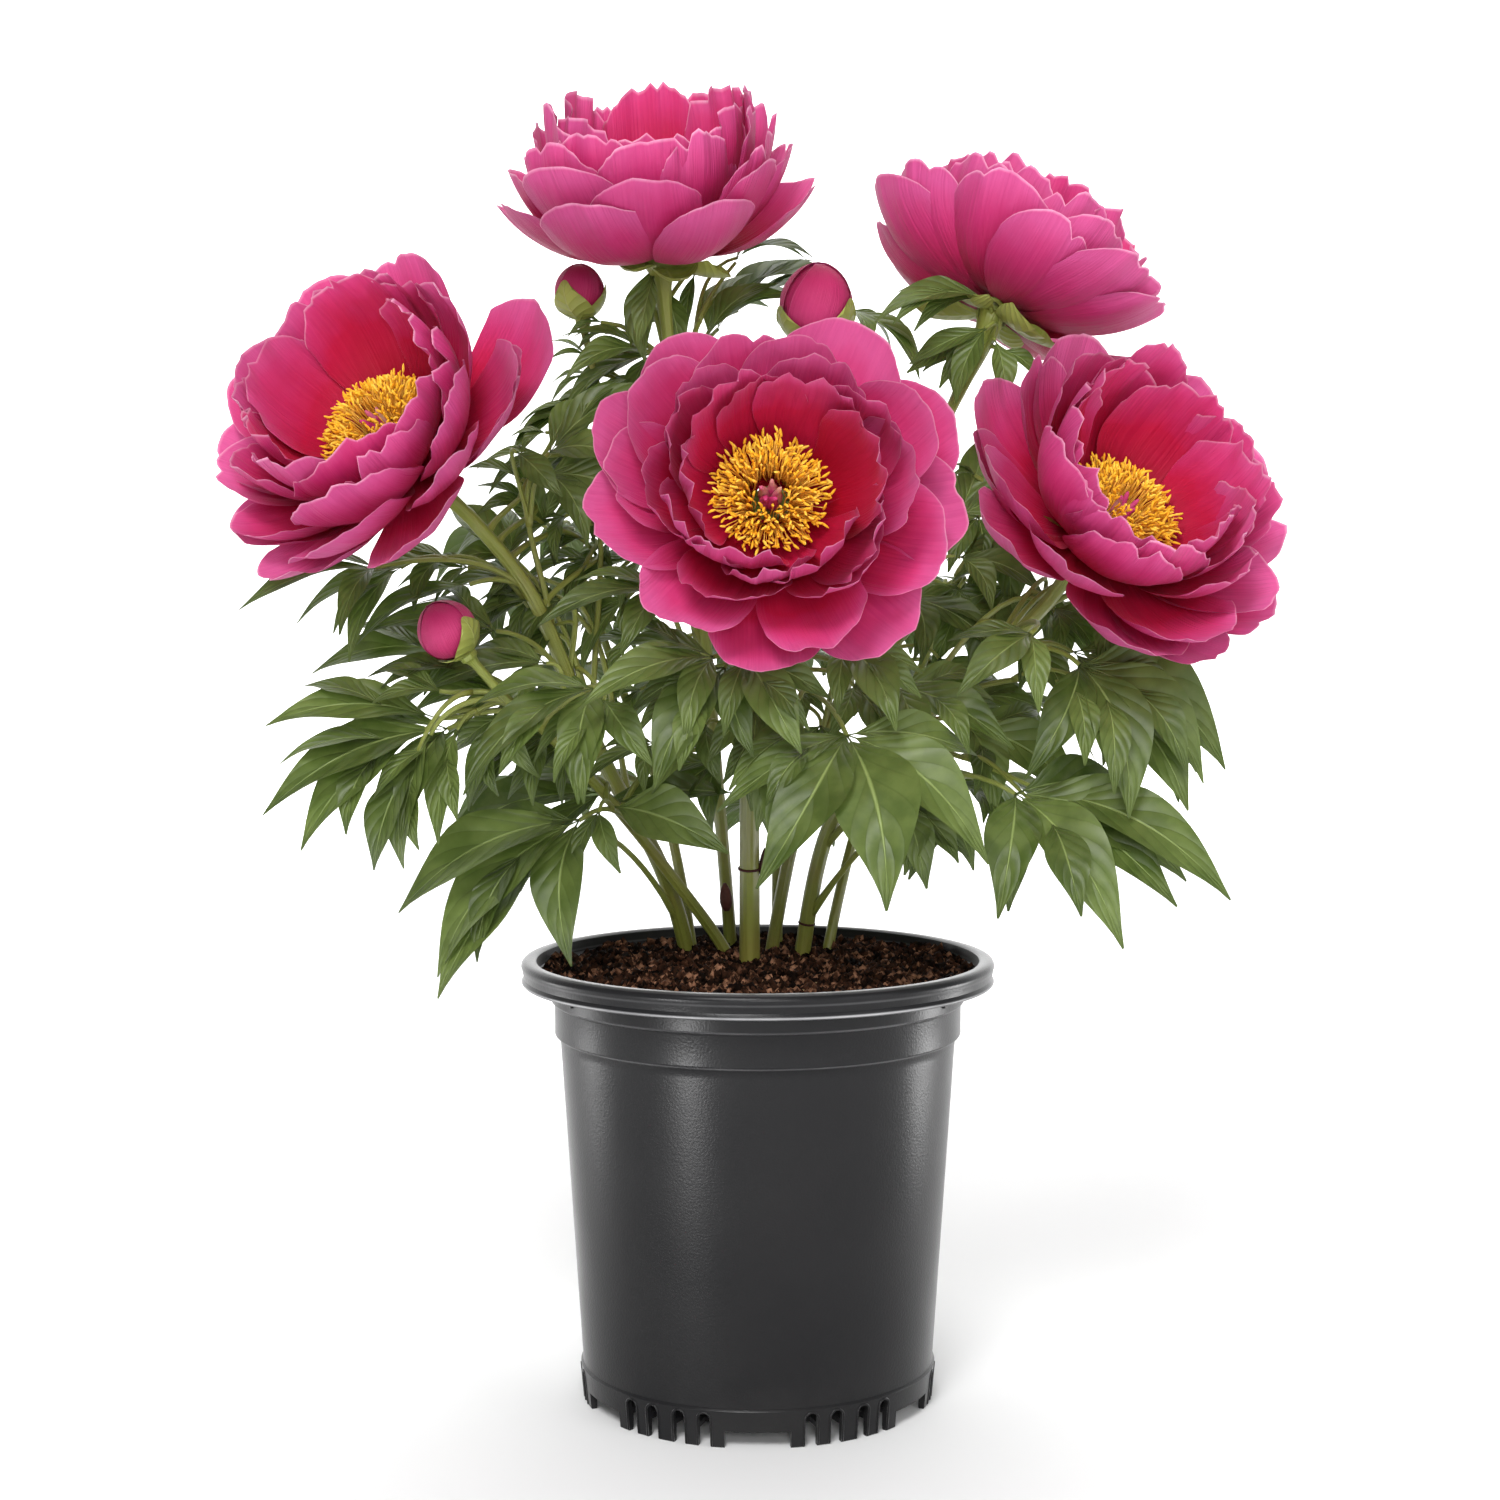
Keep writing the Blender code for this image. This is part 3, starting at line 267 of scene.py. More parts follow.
# Blooms, buds and stems, whose bases, facings, sizes and knots are those of the solids. So are
# their stretches, but the upper right bloom's. A bloom's dip is the share by which its petals on the
# camera's side stand lower, its reach scales its petals layer by layer, longer says at which turns
# they're longer or shorter and by what share, its turns say where the petals of the two outer layers
# point, and its sepals are (turn, share of the usual length). A bud's sepals are (turn, how far they
# reach up its ball in radians). A stem is (foot's and top's radius, flower, knots).
BLOOMS = {
    "left": {"base": (-165, -44, 459), "facing": (-0.46, -0.68, 0.57),
             "turn": 10, "size": 1.06, "stretch": 1.0, "dip": 0.34, "reach": (0.99, 1.0, 1.01, 1.02, 1.02),
             "longer": ((110, 0.04), (178, -0.08), (245, 0.07)),
             "turns": ((352, 322, 265, 218, 188, 150, 105, 65), (45, 85, 125, 168, 203, 240, 290, 328)),
             "sepals": ((20, 1.0), (90, 1.0), (165, 1.1), (240, 1.0), (300, 1.2))},
    "top": {"base": (-47, 8, 554), "facing": (-0.05, -0.22, 0.97),
            "turn": 25, "size": 0.97, "stretch": 1.2, "dip": 0.26, "reach": (0.93, 0.96, 1.02, 1.05, 1.06),
            "longer": (),
            "turns": ((215, 275, 335, 35, 95, 155), (245, 295, 345, 40, 90, 145, 195)),
            "sepals": ((200, 1.0), (265, 1.2), (320, 1.3), (50, 1.0), (120, 1.0))},
    "front": {"base": (5, -92, 433), "facing": (0.02, -0.97, 0.24),
              "turn": 0, "size": 1.0, "stretch": 1.0, "dip": 0.06, "reach": (1.0, 1.0, 1.0, 1.0, 1.0),
              "longer": ((35, 0.07), (95, -0.12), (185, -0.07), (262, -0.06)),
              "turns": ((195, 268, 308, 357, 30, 66, 128, 160), (22, 78, 105, 140, 175, 232, 290, 335)),
              "sepals": ((15, 1.0), (87, 1.0), (159, 1.0), (231, 1.0), (303, 1.0))},
    "upper_right": {"base": (116, 28, 531), "facing": (0.42, 0.18, 0.89),
                    "turn": 40, "size": 0.97, "stretch": 1.03, "dip": 0.0,
                    "reach": (0.95, 0.95, 0.97, 1.0, 1.0), "longer": ((85, -0.14), (20, 0.22)),
                    "turns": ((122, 152, 238, 268, 298, 345, 30, 75),
                              (215, 255, 290, 325, 10, 60, 110, 160)),
                    "sepals": ((112, 1.75), (268, 1.35), (320, 1.3), (20, 1.1), (190, 0.9))},
    "right": {"base": (160, -34, 420), "facing": (0.45, -0.66, 0.60),
              "turn": 15, "size": 1.06, "stretch": 1.0, "dip": 0.28, "reach": (0.98, 1.0, 1.01, 1.02, 1.02),
              "longer": ((25, -0.03), (95, 0.10), (175, -0.12), (320, -0.06)),
              "turns": ((142, 170, 208, 272, 300, 338, 10, 45), (30, 75, 105, 130, 190, 235, 285, 325)),
              "sepals": ((15, 1.0), (87, 1.0), (159, 1.2), (231, 1.1), (303, 1.0))},
}
BUDS = {
    "bud_top": {"base": (-86, 32, 527), "facing": (-0.12, -0.05, 1.0), "size": 0.70, "stretch": 1.05,
                "sepals": ((0, 1.9), (130, 1.7), (240, 2.0))},
    "bud_upper_right": {"base": (28, 32, 513), "facing": (0.02, -0.1, 1.0), "size": 1.03, "stretch": 1.10,
                        "sepals": ((205, 1.55), (330, 1.75), (90, 1.3))},
    "bud_left_low": {"base": (-134, -62, 366), "facing": (-0.55, -0.25, 0.70), "size": 0.78, "stretch": 1.0,
                     "sepals": ((320, 1.75), (80, 1.2), (200, 1.0))},
}
# A bud's ball, how far its tip is drawn up and from where, its petals and their grid, and the grid
# of its sepals, which start a little way up the ball
BUD_RADIUS = 18.0
BUD_TIP = 0.8
BUD_TIP_FROM = 2.2
BUD_PETALS = 6
BUD_ROWS = 24
BUD_COLUMNS = 18
BUD_SEPAL_ROWS = 14
BUD_SEPAL_COLUMNS = 10
BUD_SEPAL_FROM = 0.16
# A calyx: how far under its flower it widens, and to what radius under a bloom and under a bud
CALYX_DEPTHS = (9.0, 3.5)
CALYX_RADII = (6.0, 8.5)
BUD_CALYX_RADII = (2.8, 5.5)
HOLE_BOTTOM = 0.1880
STEMS = {
    "left": (4.6, 3.4, BLOOMS["left"],
             ((-36, 60, 209), (-49, 45, 255), (-77, 22, 312), (-108, -2, 390), (-136, -14, 428))),
    "left_low": (3.4, 2.2, BUDS["bud_left_low"],
                 ((-15, 45, 209), (-42, 32, 250), (-72, 4, 292), (-100, -34, 328), (-117, -54, 345))),
    "top": (3.6, 2.8, BLOOMS["top"],
            ((-14, 76, 209), (-20, 60, 290), (-30, 38, 409), (-42, 16, 500))),
    "front": (5.5, 4.2, BLOOMS["front"],
              ((-4, 20, 209), (-4, 6, 293), (-3, -14, 360), (1, -46, 415))),
    "upper_right": (3.6, 2.8, BLOOMS["upper_right"],
                    ((7, 60, 209), (24, 55, 290), (61, 46, 389), (94, 34, 480))),
    "right": (4.2, 3.4, BLOOMS["right"],
              ((22, 42, 209), (36, 30, 277), (69, 8, 322), (108, -8, 357), (138, -14, 388))),
    "back_left": (3.2, 1.8, None, ((-34, 74, 209), (-48, 86, 280), (-74, 98, 350), (-92, 104, 400))),
    "back": (3.2, 1.8, None, ((10, 80, 209), (10, 92, 290), (10, 102, 370), (12, 106, 430))),
    "back_right": (3.2, 1.8, None, ((36, 68, 209), (54, 84, 280), (84, 98, 350), (104, 104, 400))),
}
# Side shoots by stem: the share of the stem's height where one leaves it, its bud and its knots
SHOOT_RADIUS = 1.7
SHOOTS = {
    "top": (0.60, BUDS["bud_top"], ((-58, 34, 440), (-78, 33, 490))),
    "upper_right": (0.55, BUDS["bud_upper_right"], ((52, 42, 430), (34, 36, 475))),
}

# Leaves by stem, as the solids have them but for one tip low on the left: the share of the stem's
# height where the stalk leaves it, then for each leaflet group its hub, the tip of its middle lobe
# and its number of lobes
LEAVES = {
    "left": (
        (0.80, (((-180, -30, 405), (-235, -60, 390), 3),
                ((-170, -15, 405), (-215, -50, 370), 2))),
        (0.62, (((-125, -15, 375), (-190, -30, 380), 3),
                ((-135, 0, 360), (-215, 0, 365), 3))),
        (0.72, (((-100, 0, 460), (-50, -5, 495), 3),
                ((-100, -5, 450), (-45, -10, 435), 3),
                ((-115, -10, 460), (-95, -25, 440), 1))),
        (0.55, (((-120, 20, 410), (-155, 35, 440), 3),)),
        (0.66, (((-150, -5, 410), (-195, -15, 400), 3),)),
    ),
    "left_low": (
        (0.95, (((-145, -45, 330), (-225, -80, 300), 3),
                ((-140, -50, 330), (-170, -80, 275), 2))),
        (0.80, (((-75, -70, 350), (-140, -115, 315), 3),
                ((-70, -75, 345), (-85, -115, 305), 3))),
        (0.45, (((-85, -25, 285), (-160, -50, 225), 3),
                ((-75, -35, 290), (-80, -58, 258), 2))),
        (0.62, (((-75, 10, 295), (-165, 20, 275), 3),
                ((-70, -10, 290), (-15, -45, 275), 1))),
        (0.72, (((-100, -30, 360), (-155, -50, 350), 3),)),
    ),
    "top": (
        (0.85, (((-20, 65, 525), (30, 80, 570), 3),
                ((-10, 75, 535), (55, 85, 555), 2))),
        (0.92, (((-50, 5, 545), (-55, -10, 510), 1),)),
        (0.75, (((-55, 15, 510), (-105, 0, 515), 2),
                ((-55, 30, 495), (-95, 35, 480), 2))),
        (0.80, (((-40, 50, 525), (-60, 75, 545), 3),)),
        (0.65, (((5, 80, 470), (35, 105, 450), 3),)),
    ),
    "front": (
        (0.80, (((-20, -85, 365), (-80, -115, 350), 3),
                ((-15, -80, 360), (-50, -115, 315), 3),
                ((-5, -90, 365), (15, -125, 325), 3))),
        (0.62, (((40, -90, 330), (65, -150, 265), 5),
                ((15, -75, 330), (5, -110, 285), 3))),
        (0.90, (((40, -80, 370), (65, -115, 340), 3),
                ((-45, -65, 395), (-95, -95, 385), 3))),
        (0.70, (((65, -50, 350), (115, -80, 325), 3),)),
    ),
    "upper_right": (
        (0.90, (((110, 10, 520), (75, 0, 490), 2),
                ((115, 15, 515), (120, 5, 485), 1))),
        (0.70, (((45, 70, 535), (85, 55, 505), 3),)),
        (0.60, (((100, 45, 430), (120, 60, 475), 3),
                ((100, 30, 410), (145, 30, 395), 3))),
        (0.45, (((75, 30, 390), (120, 15, 365), 3),)),
    ),
    "right": (
        (0.30, (((120, -50, 300), (190, -95, 255), 4),
                ((70, -40, 295), (90, -60, 260), 2))),
        (0.75, (((150, -45, 360), (205, -80, 300), 4),
                ((150, -20, 365), (225, -35, 320), 3))),
        (0.85, (((125, -65, 375), (90, -100, 350), 3),)),
        (0.80, (((160, 5, 395), (205, 0, 360), 3),)),
        (0.95, (((168, -22, 392), (158, -40, 358), 1),)),
        (0.50, (((100, -10, 330), (160, -25, 295), 3),
                ((95, 5, 340), (145, 10, 340), 3))),
    ),
}

# Leaves that only the fine plant has, in the same form: they fill the clump between the others
SMALL_LEAVES = {
    "left": (
        (0.58, (((-105, 30, 460), (-145, 15, 450), 2), ((-95, 25, 430), (-125, 15, 410), 3))),
        (0.45, (((-115, 20, 400), (-160, 10, 395), 3), ((-110, 15, 390), (-150, 5, 365), 3))),
        (0.68, (((-140, 0, 405), (-175, -5, 400), 3),)),
        (0.20, (((-100, -25, 270), (-150, -60, 210), 1), ((-85, -20, 285), (-170, -45, 255), 1))),
        (0.90, (((-112, 20, 436), (-143, 10, 445), 2), ((-105, 25, 428), (-116, 20, 457), 3))),
        (0.76, (((-83, 35, 409), (-124, 20, 394), 3), ((-83, 40, 419), (-117, 30, 416), 2))),
        (0.66, (((-96, 10, 389), (-141, 0, 384), 3), ((-99, 15, 377), (-135, 5, 365), 3))),
        (0.80, (((-138, -10, 397), (-192, -30, 376), 1),)),
        (0.94, (((-115, 15, 448), (-140, 5, 456), 1), ((-104, 25, 471), (-124, 15, 467), 2))),
        (0.86, (((-96, 40, 421), (-120, 30, 408), 3), ((-83, 45, 406), (-106, 40, 400), 3))),
        (0.70, (((-117, 10, 401), (-140, 5, 393), 2),)),
    ),
    "left_low": (
        (0.62, (((-105, 15, 370), (-140, 5, 345), 3), ((-80, 0, 345), (-115, -10, 340), 3))),
        (0.85, (((-150, -45, 335), (-225, -60, 340), 1), ((-155, -50, 330), (-210, -80, 285), 1))),
        (0.52, (((-50, 0, 320), (-85, -15, 305), 3), ((-20, 15, 310), (-55, 5, 280), 3))),
        (0.92, (((-122, -30, 347), (-168, -35, 343), 3), ((-135, -35, 356), (-183, -45, 358), 1))),
        (0.78, (((-101, -20, 325), (-140, -35, 296), 3), ((-88, -15, 323), (-123, -25, 295), 3))),
        (0.97, (((-151, -60, 328), (-172, -75, 269), 1),)),
        (0.90, (((-120, -30, 336), (-137, -45, 291), 3),)),
        (0.98, (((-148, -50, 348), (-185, -55, 357), 2), ((-158, -65, 317), (-177, -80, 268), 1))),
    ),
    "top": (
        (0.78, (((-50, 35, 510), (-100, 25, 485), 3), ((-75, 30, 520), (-95, 25, 515), 2))),
        (0.62, (((-75, 45, 490), (-125, 35, 465), 3), ((-70, 45, 470), (-115, 35, 450), 3))),
        (0.50, (((-75, 45, 445), (-110, 35, 415), 3), ((-55, 40, 410), (-100, 30, 390), 3))),
        (0.35, (((-65, 35, 390), (-90, 20, 355), 3), ((-35, 35, 370), (-75, 20, 345), 3))),
        (0.88, (((-25, 50, 520), (5, 60, 565), 2), ((-10, 60, 560), (35, 65, 570), 2))),
        (0.93, (((-50, 10, 550), (-60, 0, 505), 1), ((-45, 20, 540), (-35, 15, 510), 1))),
        (0.80, (((-86, 40, 485), (-128, 30, 457), 3), ((-78, 40, 473), (-105, 35, 436), 3))),
        (0.62, (((-74, 50, 419), (-99, 40, 386), 3), ((-79, 45, 394), (-106, 35, 372), 3))),
        (0.45, (((-59, 45, 369), (-98, 35, 362), 3), ((-59, 40, 344), (-88, 30, 330), 3))),
        (0.90, (((-57, 10, 534), (-61, 5, 512), 1), ((-31, 30, 548), (-36, 25, 521), 1))),
        (0.72, (((-77, 30, 525), (-99, 25, 525), 2),)),
        (0.93, (((-6, 60, 546), (57, 62, 552), 2), ((-11, 55, 557), (4, 55, 575), 1))),
        (0.83, (((-84, 40, 508), (-107, 30, 518), 2), ((-82, 40, 500), (-111, 35, 493), 2))),
    ),
    "front": (
        (0.55, (((-10, 5, 295), (-75, 5, 290), 1), ((-25, -10, 330), (-50, -30, 300), 3))),
        (0.66, (((20, -45, 345), (-5, -75, 285), 1), ((45, -45, 350), (65, -75, 320), 3))),
        (0.60, (((0, -20, 340), (-5, -45, 295), 3), ((30, -20, 330), (25, -40, 295), 3))),
        (0.62, (((-32, -40, 348), (-54, -60, 324), 2), ((20, -30, 347), (29, -40, 334), 2))),
    ),
    "upper_right": (
        (0.62, (((110, 45, 430), (90, 25, 405), 3), ((120, 45, 425), (125, 30, 380), 3))),
        (0.50, (((100, 40, 395), (75, 20, 365), 3), ((125, 40, 395), (100, 15, 355), 3))),
        (0.38, (((60, 40, 370), (50, 20, 330), 3), ((90, 35, 360), (110, 15, 325), 3))),
        (0.92, (((105, 15, 535), (60, 0, 535), 2), ((100, 25, 510), (80, 15, 495), 2))),
        (0.72, (((109, 50, 389), (86, 45, 404), 2), ((99, 45, 384), (88, 35, 355), 3))),
        (0.97, (((118, 20, 511), (139, 15, 497), 1), ((99, 20, 520), (81, 10, 486), 2))),
        (0.93, (((110, 12, 535), (54, 0, 532), 1),)),
        (0.74, (((108, 45, 451), (93, 40, 457), 2), ((114, 45, 404), (96, 40, 396), 2))),
    ),
    "right": (
        (0.55, (((145, 15, 385), (170, 5, 360), 3), ((130, 5, 370), (150, -10, 340), 3))),
        (0.18, (((110, -30, 295), (120, -60, 250), 1), ((80, -20, 300), (95, -45, 255), 2))),
        (0.48, (((135, -50, 300), (215, -90, 265), 1), ((130, -50, 295), (190, -90, 255), 1))),
        (0.62, (((160, -10, 345), (230, -30, 310), 2), ((155, -25, 350), (205, -65, 300), 1))),
        (0.80, (((142, 30, 394), (134, 20, 365), 3), ((148, 20, 379), (160, 10, 356), 2))),
        (0.36, (((67, -40, 296), (95, -60, 257), 2),)),
    ),
}

# Leaves on the far side, by stem, as the solids have them: the share of its height, the way the
# leaf heads in degrees from +X, how far its hub lies out from the stem and up, and its length, in
# millimetres
OPEN_LEAVES = {
    "back_left": ((0.45, 165, 60, 10, 64), (0.75, 120, 26, 20, 48), (1.00, 155, 36, 28, 58)),
    "back": ((0.40, 62, 26, 0, 48), (0.70, 115, 26, 0, 48), (1.00, 75, 16, 30, 46)),
    "back_right": ((0.45, 12, 60, 10, 64), (0.75, 62, 26, 20, 48), (1.00, 25, 36, 28, 58)),
}
# Leaves on the far side that only the fine plant has, in the same form
SMALL_OPEN_LEAVES = {
    "back_left": ((0.62, 190, 44, 12, 66), (0.70, 130, 24, 8, 50), (0.88, 100, 14, 15, 44),
                  (0.84, 215, 50, 10, 60)),
    "back": ((0.62, 165, 34, 8, 54), (0.66, 20, 34, 6, 54), (0.85, 60, 14, 12, 42),
             (0.90, 190, 40, 20, 52), (0.92, -5, 40, 18, 52)),
    "back_right": ((0.62, -8, 44, 12, 66), (0.70, 50, 24, 8, 50), (0.88, 82, 14, 15, 44),
                   (0.84, -30, 50, 10, 60)),
}
# How far such a leaf droops, and its side groups: their size, and how far back they start
OPEN_DROOP = 0.45
OPEN_SIDE = 0.72
OPEN_BACK = 0.33

# Brown resting buds low on the stems, by stem: foot and tip, and half the bud's width
RESTING_BUDS = {
    "left_low": (((-15.5, 33, 234), (-16.5, 31, 248), 3.2),),
    "front": (((2.0, 12, 254), (3.5, 9, 268), 2.0),),
    "right": (((12, 40, 268), (11, 38, 280), 1.8), ((24, 34, 298), (23, 32, 308), 1.4)),
}
# Dark rings where a stem's joints are, by stem: the share of the stem's path
RINGS = {"left_low": 0.10, "front": 0.40, "right": 0.26, "left": 0.17}

# The camera, which stands where the photograph was taken from
CAMERA_AT = (0.0, -1.25, 0.408)
CAMERA_PITCH = 85.83
CAMERA_LENS = 62.04
CAMERA_SHIFT = -0.0052

# The studio: half the floor's width, its front edge, where it starts to curve up and the radius of
# the curve, the backdrop's top, and how bright the air and the paper far from the plant are
FLOOR_HALF_WIDTH = 14.0
FLOOR_FRONT = -6.0
FLOOR_BACK = 6.0
BEND_RADIUS = 2.2
BACKDROP_TOP = 9.0
AIR_BRIGHTNESS = 0.30
PAPER_BRIGHTNESS = 0.60
# Lights: place, the point that it faces, width, power, and whether matt surfaces catch it, or only
# reflections
LIGHTS = {
    "key_light": ((-0.55, -2.3, 2.3), (0.0, 0.0, 0.40), 1.2, 66, True),
    "front_light": ((0.2, -2.6, 0.9), (0.0, 0.0, 0.40), 0.9, 24, True),
    "fill_light": ((2.1, -1.6, 1.0), (0.05, 0.0, 0.35), 1.4, 12, True),
    "top_light": ((0.1, 0.7, 2.4), (0.0, 0.0, 0.45), 1.5, 26, True),
    "backdrop_light": ((0.0, 3.0, 3.2), (0.0, 8.0, 1.6), 4.0, 420, True),
    "gloss_light": ((-0.33, -0.45, 0.06), (0.0, -0.02, 0.16), 0.10, 1.2, False),
    "left_edge_gloss": ((-0.50, 0.10, 0.09), (0.0, 0.0, 0.13), 0.16, 0.5, False),
    "right_edge_gloss": ((0.50, 0.10, 0.09), (0.0, 0.0, 0.11), 0.16, 0.9, False),
}


# Nodes and materials

def feed(tree, socket, value):
    """Links a socket to another one, or sets it to a number or a colour."""
    if isinstance(value, bpy.types.NodeSocket):
        tree.links.new(value, socket)
    else:
        socket.default_value = (*value, 1) if isinstance(value, tuple) else value


def add(tree, kind, inputs=None, **settings):
    """A new shader node with its settings, and its inputs set or linked."""
    made = tree.nodes.new(kind)
    for key, value in settings.items():
        setattr(made, key, value)
    for socket, value in (inputs or {}).items():
        feed(tree, made.inputs[socket], value)
    return made


def maths(tree, operation, *values):
    """The result of a Math node."""
    made = add(tree, "ShaderNodeMath", dict(enumerate(values)), operation=operation)
    return made.outputs[0]


def off_middle(tree, share):
    """How far a share lies off its middle, from 0 there to 1 at both ends."""
    return maths(tree, "ABSOLUTE", maths(tree, "MULTIPLY_ADD", share, 2.0, -1.0))


def about_zero(tree, share, width):
    """A share, spread over a width about zero."""
    return maths(tree, "MULTIPLY_ADD", share, width, -width / 2)


def span(tree, value, low, high, start=0.0, end=1.0):
    """A value's smooth place between two others, from start to end."""
    made = add(
        tree, "ShaderNodeMapRange",
        {"Value": value, "From Min": low, "From Max": high, "To Min": start, "To Max": end},
        interpolation_type="SMOOTHSTEP",
    )
    return made.outputs["Result"]


def mixed(tree, share, first, second):
    """A mix of two colours."""
    return add(tree, "ShaderNodeMix", {0: share, 6: first, 7: second}, data_type="RGBA").outputs[2]


def ramp(tree, value, stops):
    """A colour that runs through stops (place, colour) as the value rises."""
    made = add(tree, "ShaderNodeValToRGB", {"Fac": value})
    elements = made.color_ramp.elements
    while len(elements) < len(stops):
        elements.new(0.5)
    for element, (place, colour) in zip(elements, stops):
        element.position = place
        element.color = (*colour, 1)
    return made.outputs["Color"]


def place_map(tree):
    """A point's place across and along its petal, lobe or stalk, as sockets X and Y."""
    place = add(tree, "ShaderNodeUVMap", uv_map="place").outputs["UV"]
    return add(tree, "ShaderNodeSeparateXYZ", {"Vector": place}).outputs


def new_group(name, inputs, outputs):
    """A shader node group of number sockets, as (tree, its inputs, its outputs)."""
    tree = bpy.data.node_groups.new(name, "ShaderNodeTree")
    for label, value in inputs.items():
        socket = tree.interface.new_socket(label, in_out="INPUT", socket_type="NodeSocketFloat")
        socket.default_value = value
    for label in outputs:
        tree.interface.new_socket(label, in_out="OUTPUT", socket_type="NodeSocketFloat")
    return tree, tree.nodes.new("NodeGroupInput").outputs, tree.nodes.new("NodeGroupOutput").inputs


def mottle_group():
    """Soft uneven patches: a mask from 0 to 1 over the piece's own space."""
    inputs = {"Scale": 60.0, "Detail": 3.0, "Contrast": 0.5, "Seed": 0.0}
    tree, given, out = new_group("Mottle", inputs, ["Mask"])
    place = add(tree, "ShaderNodeTexCoord").outputs["Object"]
    patches = add(
        tree, "ShaderNodeTexNoise",
        {"Vector": place, "W": given["Seed"], "Scale": given["Scale"], "Detail": given["Detail"]},
        noise_dimensions="4D",
    )
    soft = maths(tree, "SUBTRACT", 0.3, maths(tree, "MULTIPLY", given["Contrast"], 0.25))
    low = maths(tree, "SUBTRACT", 0.5, soft)
    high = maths(tree, "ADD", 0.5, soft)
    feed(tree, out["Mask"], span(tree, patches.outputs["Fac"], low, high))
    return tree


def streak_group():
    """Fine lines that run along a petal, leaf or stalk, from its place map."""
    tree, given, out = new_group("Streaks", {"Across": 30.0, "Along": 1.5, "Seed": 0.0}, ["Mask"])
    place = place_map(tree)
    stretched = add(
        tree, "ShaderNodeCombineXYZ",
        {"X": maths(tree, "MULTIPLY", place["X"], given["Across"]),
         "Y": maths(tree, "MULTIPLY", place["Y"], given["Along"]),
         "Z": maths(tree, "MULTIPLY", given["Seed"], 40.0)},
    ).outputs["Vector"]
    lines = add(
        tree, "ShaderNodeTexNoise",
        {"Vector": stretched, "Scale": 1.0, "Detail": 3.0, "Roughness": 0.6},
    )
    feed(tree, out["Mask"], span(tree, lines.outputs["Fac"], 0.32, 0.68))
    return tree


def vein_group():
    """A leaf's midrib and side veins, and its height between them, from its place map."""
    inputs = {"Pairs": 9.0, "Slant": 0.28, "Rib Width": 0.05}
    tree, given, out = new_group("Veins", inputs, ["Rib", "Veins", "Height"])
    place = place_map(tree)
    across = off_middle(tree, place["X"])
    narrow = maths(tree, "SUBTRACT", 1.5, place["Y"])
    taper = maths(tree, "MULTIPLY", given["Rib Width"], narrow)
    rib = span(tree, maths(tree, "DIVIDE", across, taper), 1.6, 0.4)
    slanted = maths(tree, "MULTIPLY", across, given["Slant"])
    along = maths(tree, "SUBTRACT", place["Y"], slanted)
    turns = maths(tree, "MULTIPLY", along, given["Pairs"])
    wave = off_middle(tree, maths(tree, "FRACT", turns))
    lines = maths(tree, "MULTIPLY", span(tree, wave, 0.80, 0.98), span(tree, across, 1.0, 0.55))
    domes = maths(tree, "SUBTRACT", 1.0, maths(tree, "MULTIPLY", wave, wave))
    feed(tree, out["Rib"], rib)
    feed(tree, out["Veins"], lines)
    feed(tree, out["Height"], maths(tree, "SUBTRACT", domes, rib))
    return tree


MOTTLE = mottle_group()
STREAKS = streak_group()
VEINS = vein_group()


def effect(tree, group, **values):
    """An effect's group, placed in a material with its own values."""
    inputs = {label.replace("_", " "): value for label, value in values.items()}
    return add(tree, "ShaderNodeGroup", inputs, node_tree=group).outputs


def new_material(name, roughness, **values):
    """A material with its Principled shader, as (material, tree, shader)."""
    material = bpy.data.materials.new(name)
    material.use_nodes = True
    tree = material.node_tree
    shader = tree.nodes["Principled BSDF"]
    shader.inputs["Roughness"].default_value = roughness
    for label, value in values.items():
        feed(tree, shader.inputs[label.replace("_", " ")], value)
    return material, tree, shader


def tint(tree):
    """The share, from 0 to 1, that each petal, lobe or crumb was given when it was made."""
    return add(tree, "ShaderNodeAttribute", attribute_name="tint").outputs["Fac"]


def relief(tree, shader, height, distance, strength):
    """Raises a surface by a height, and gives its normal back."""
    values = {"Height": height, "Distance": distance, "Strength": strength}
    normal = add(tree, "ShaderNodeBump", values).outputs["Normal"]
    feed(tree, shader.inputs["Normal"], normal)
    return normal


def let_light_through(tree, shader, colour, share, normal):
    """Mixes in the light that comes through a thin sheet from behind."""
    through = add(tree, "ShaderNodeBsdfTranslucent", {"Color": colour, "Normal": normal})
    both = add(
        tree, "ShaderNodeMixShader",
        {"Fac": share, 1: shader.outputs["BSDF"], 2: through.outputs["BSDF"]},
    )
    feed(tree, tree.nodes["Material Output"].inputs["Surface"], both.outputs["Shader"])


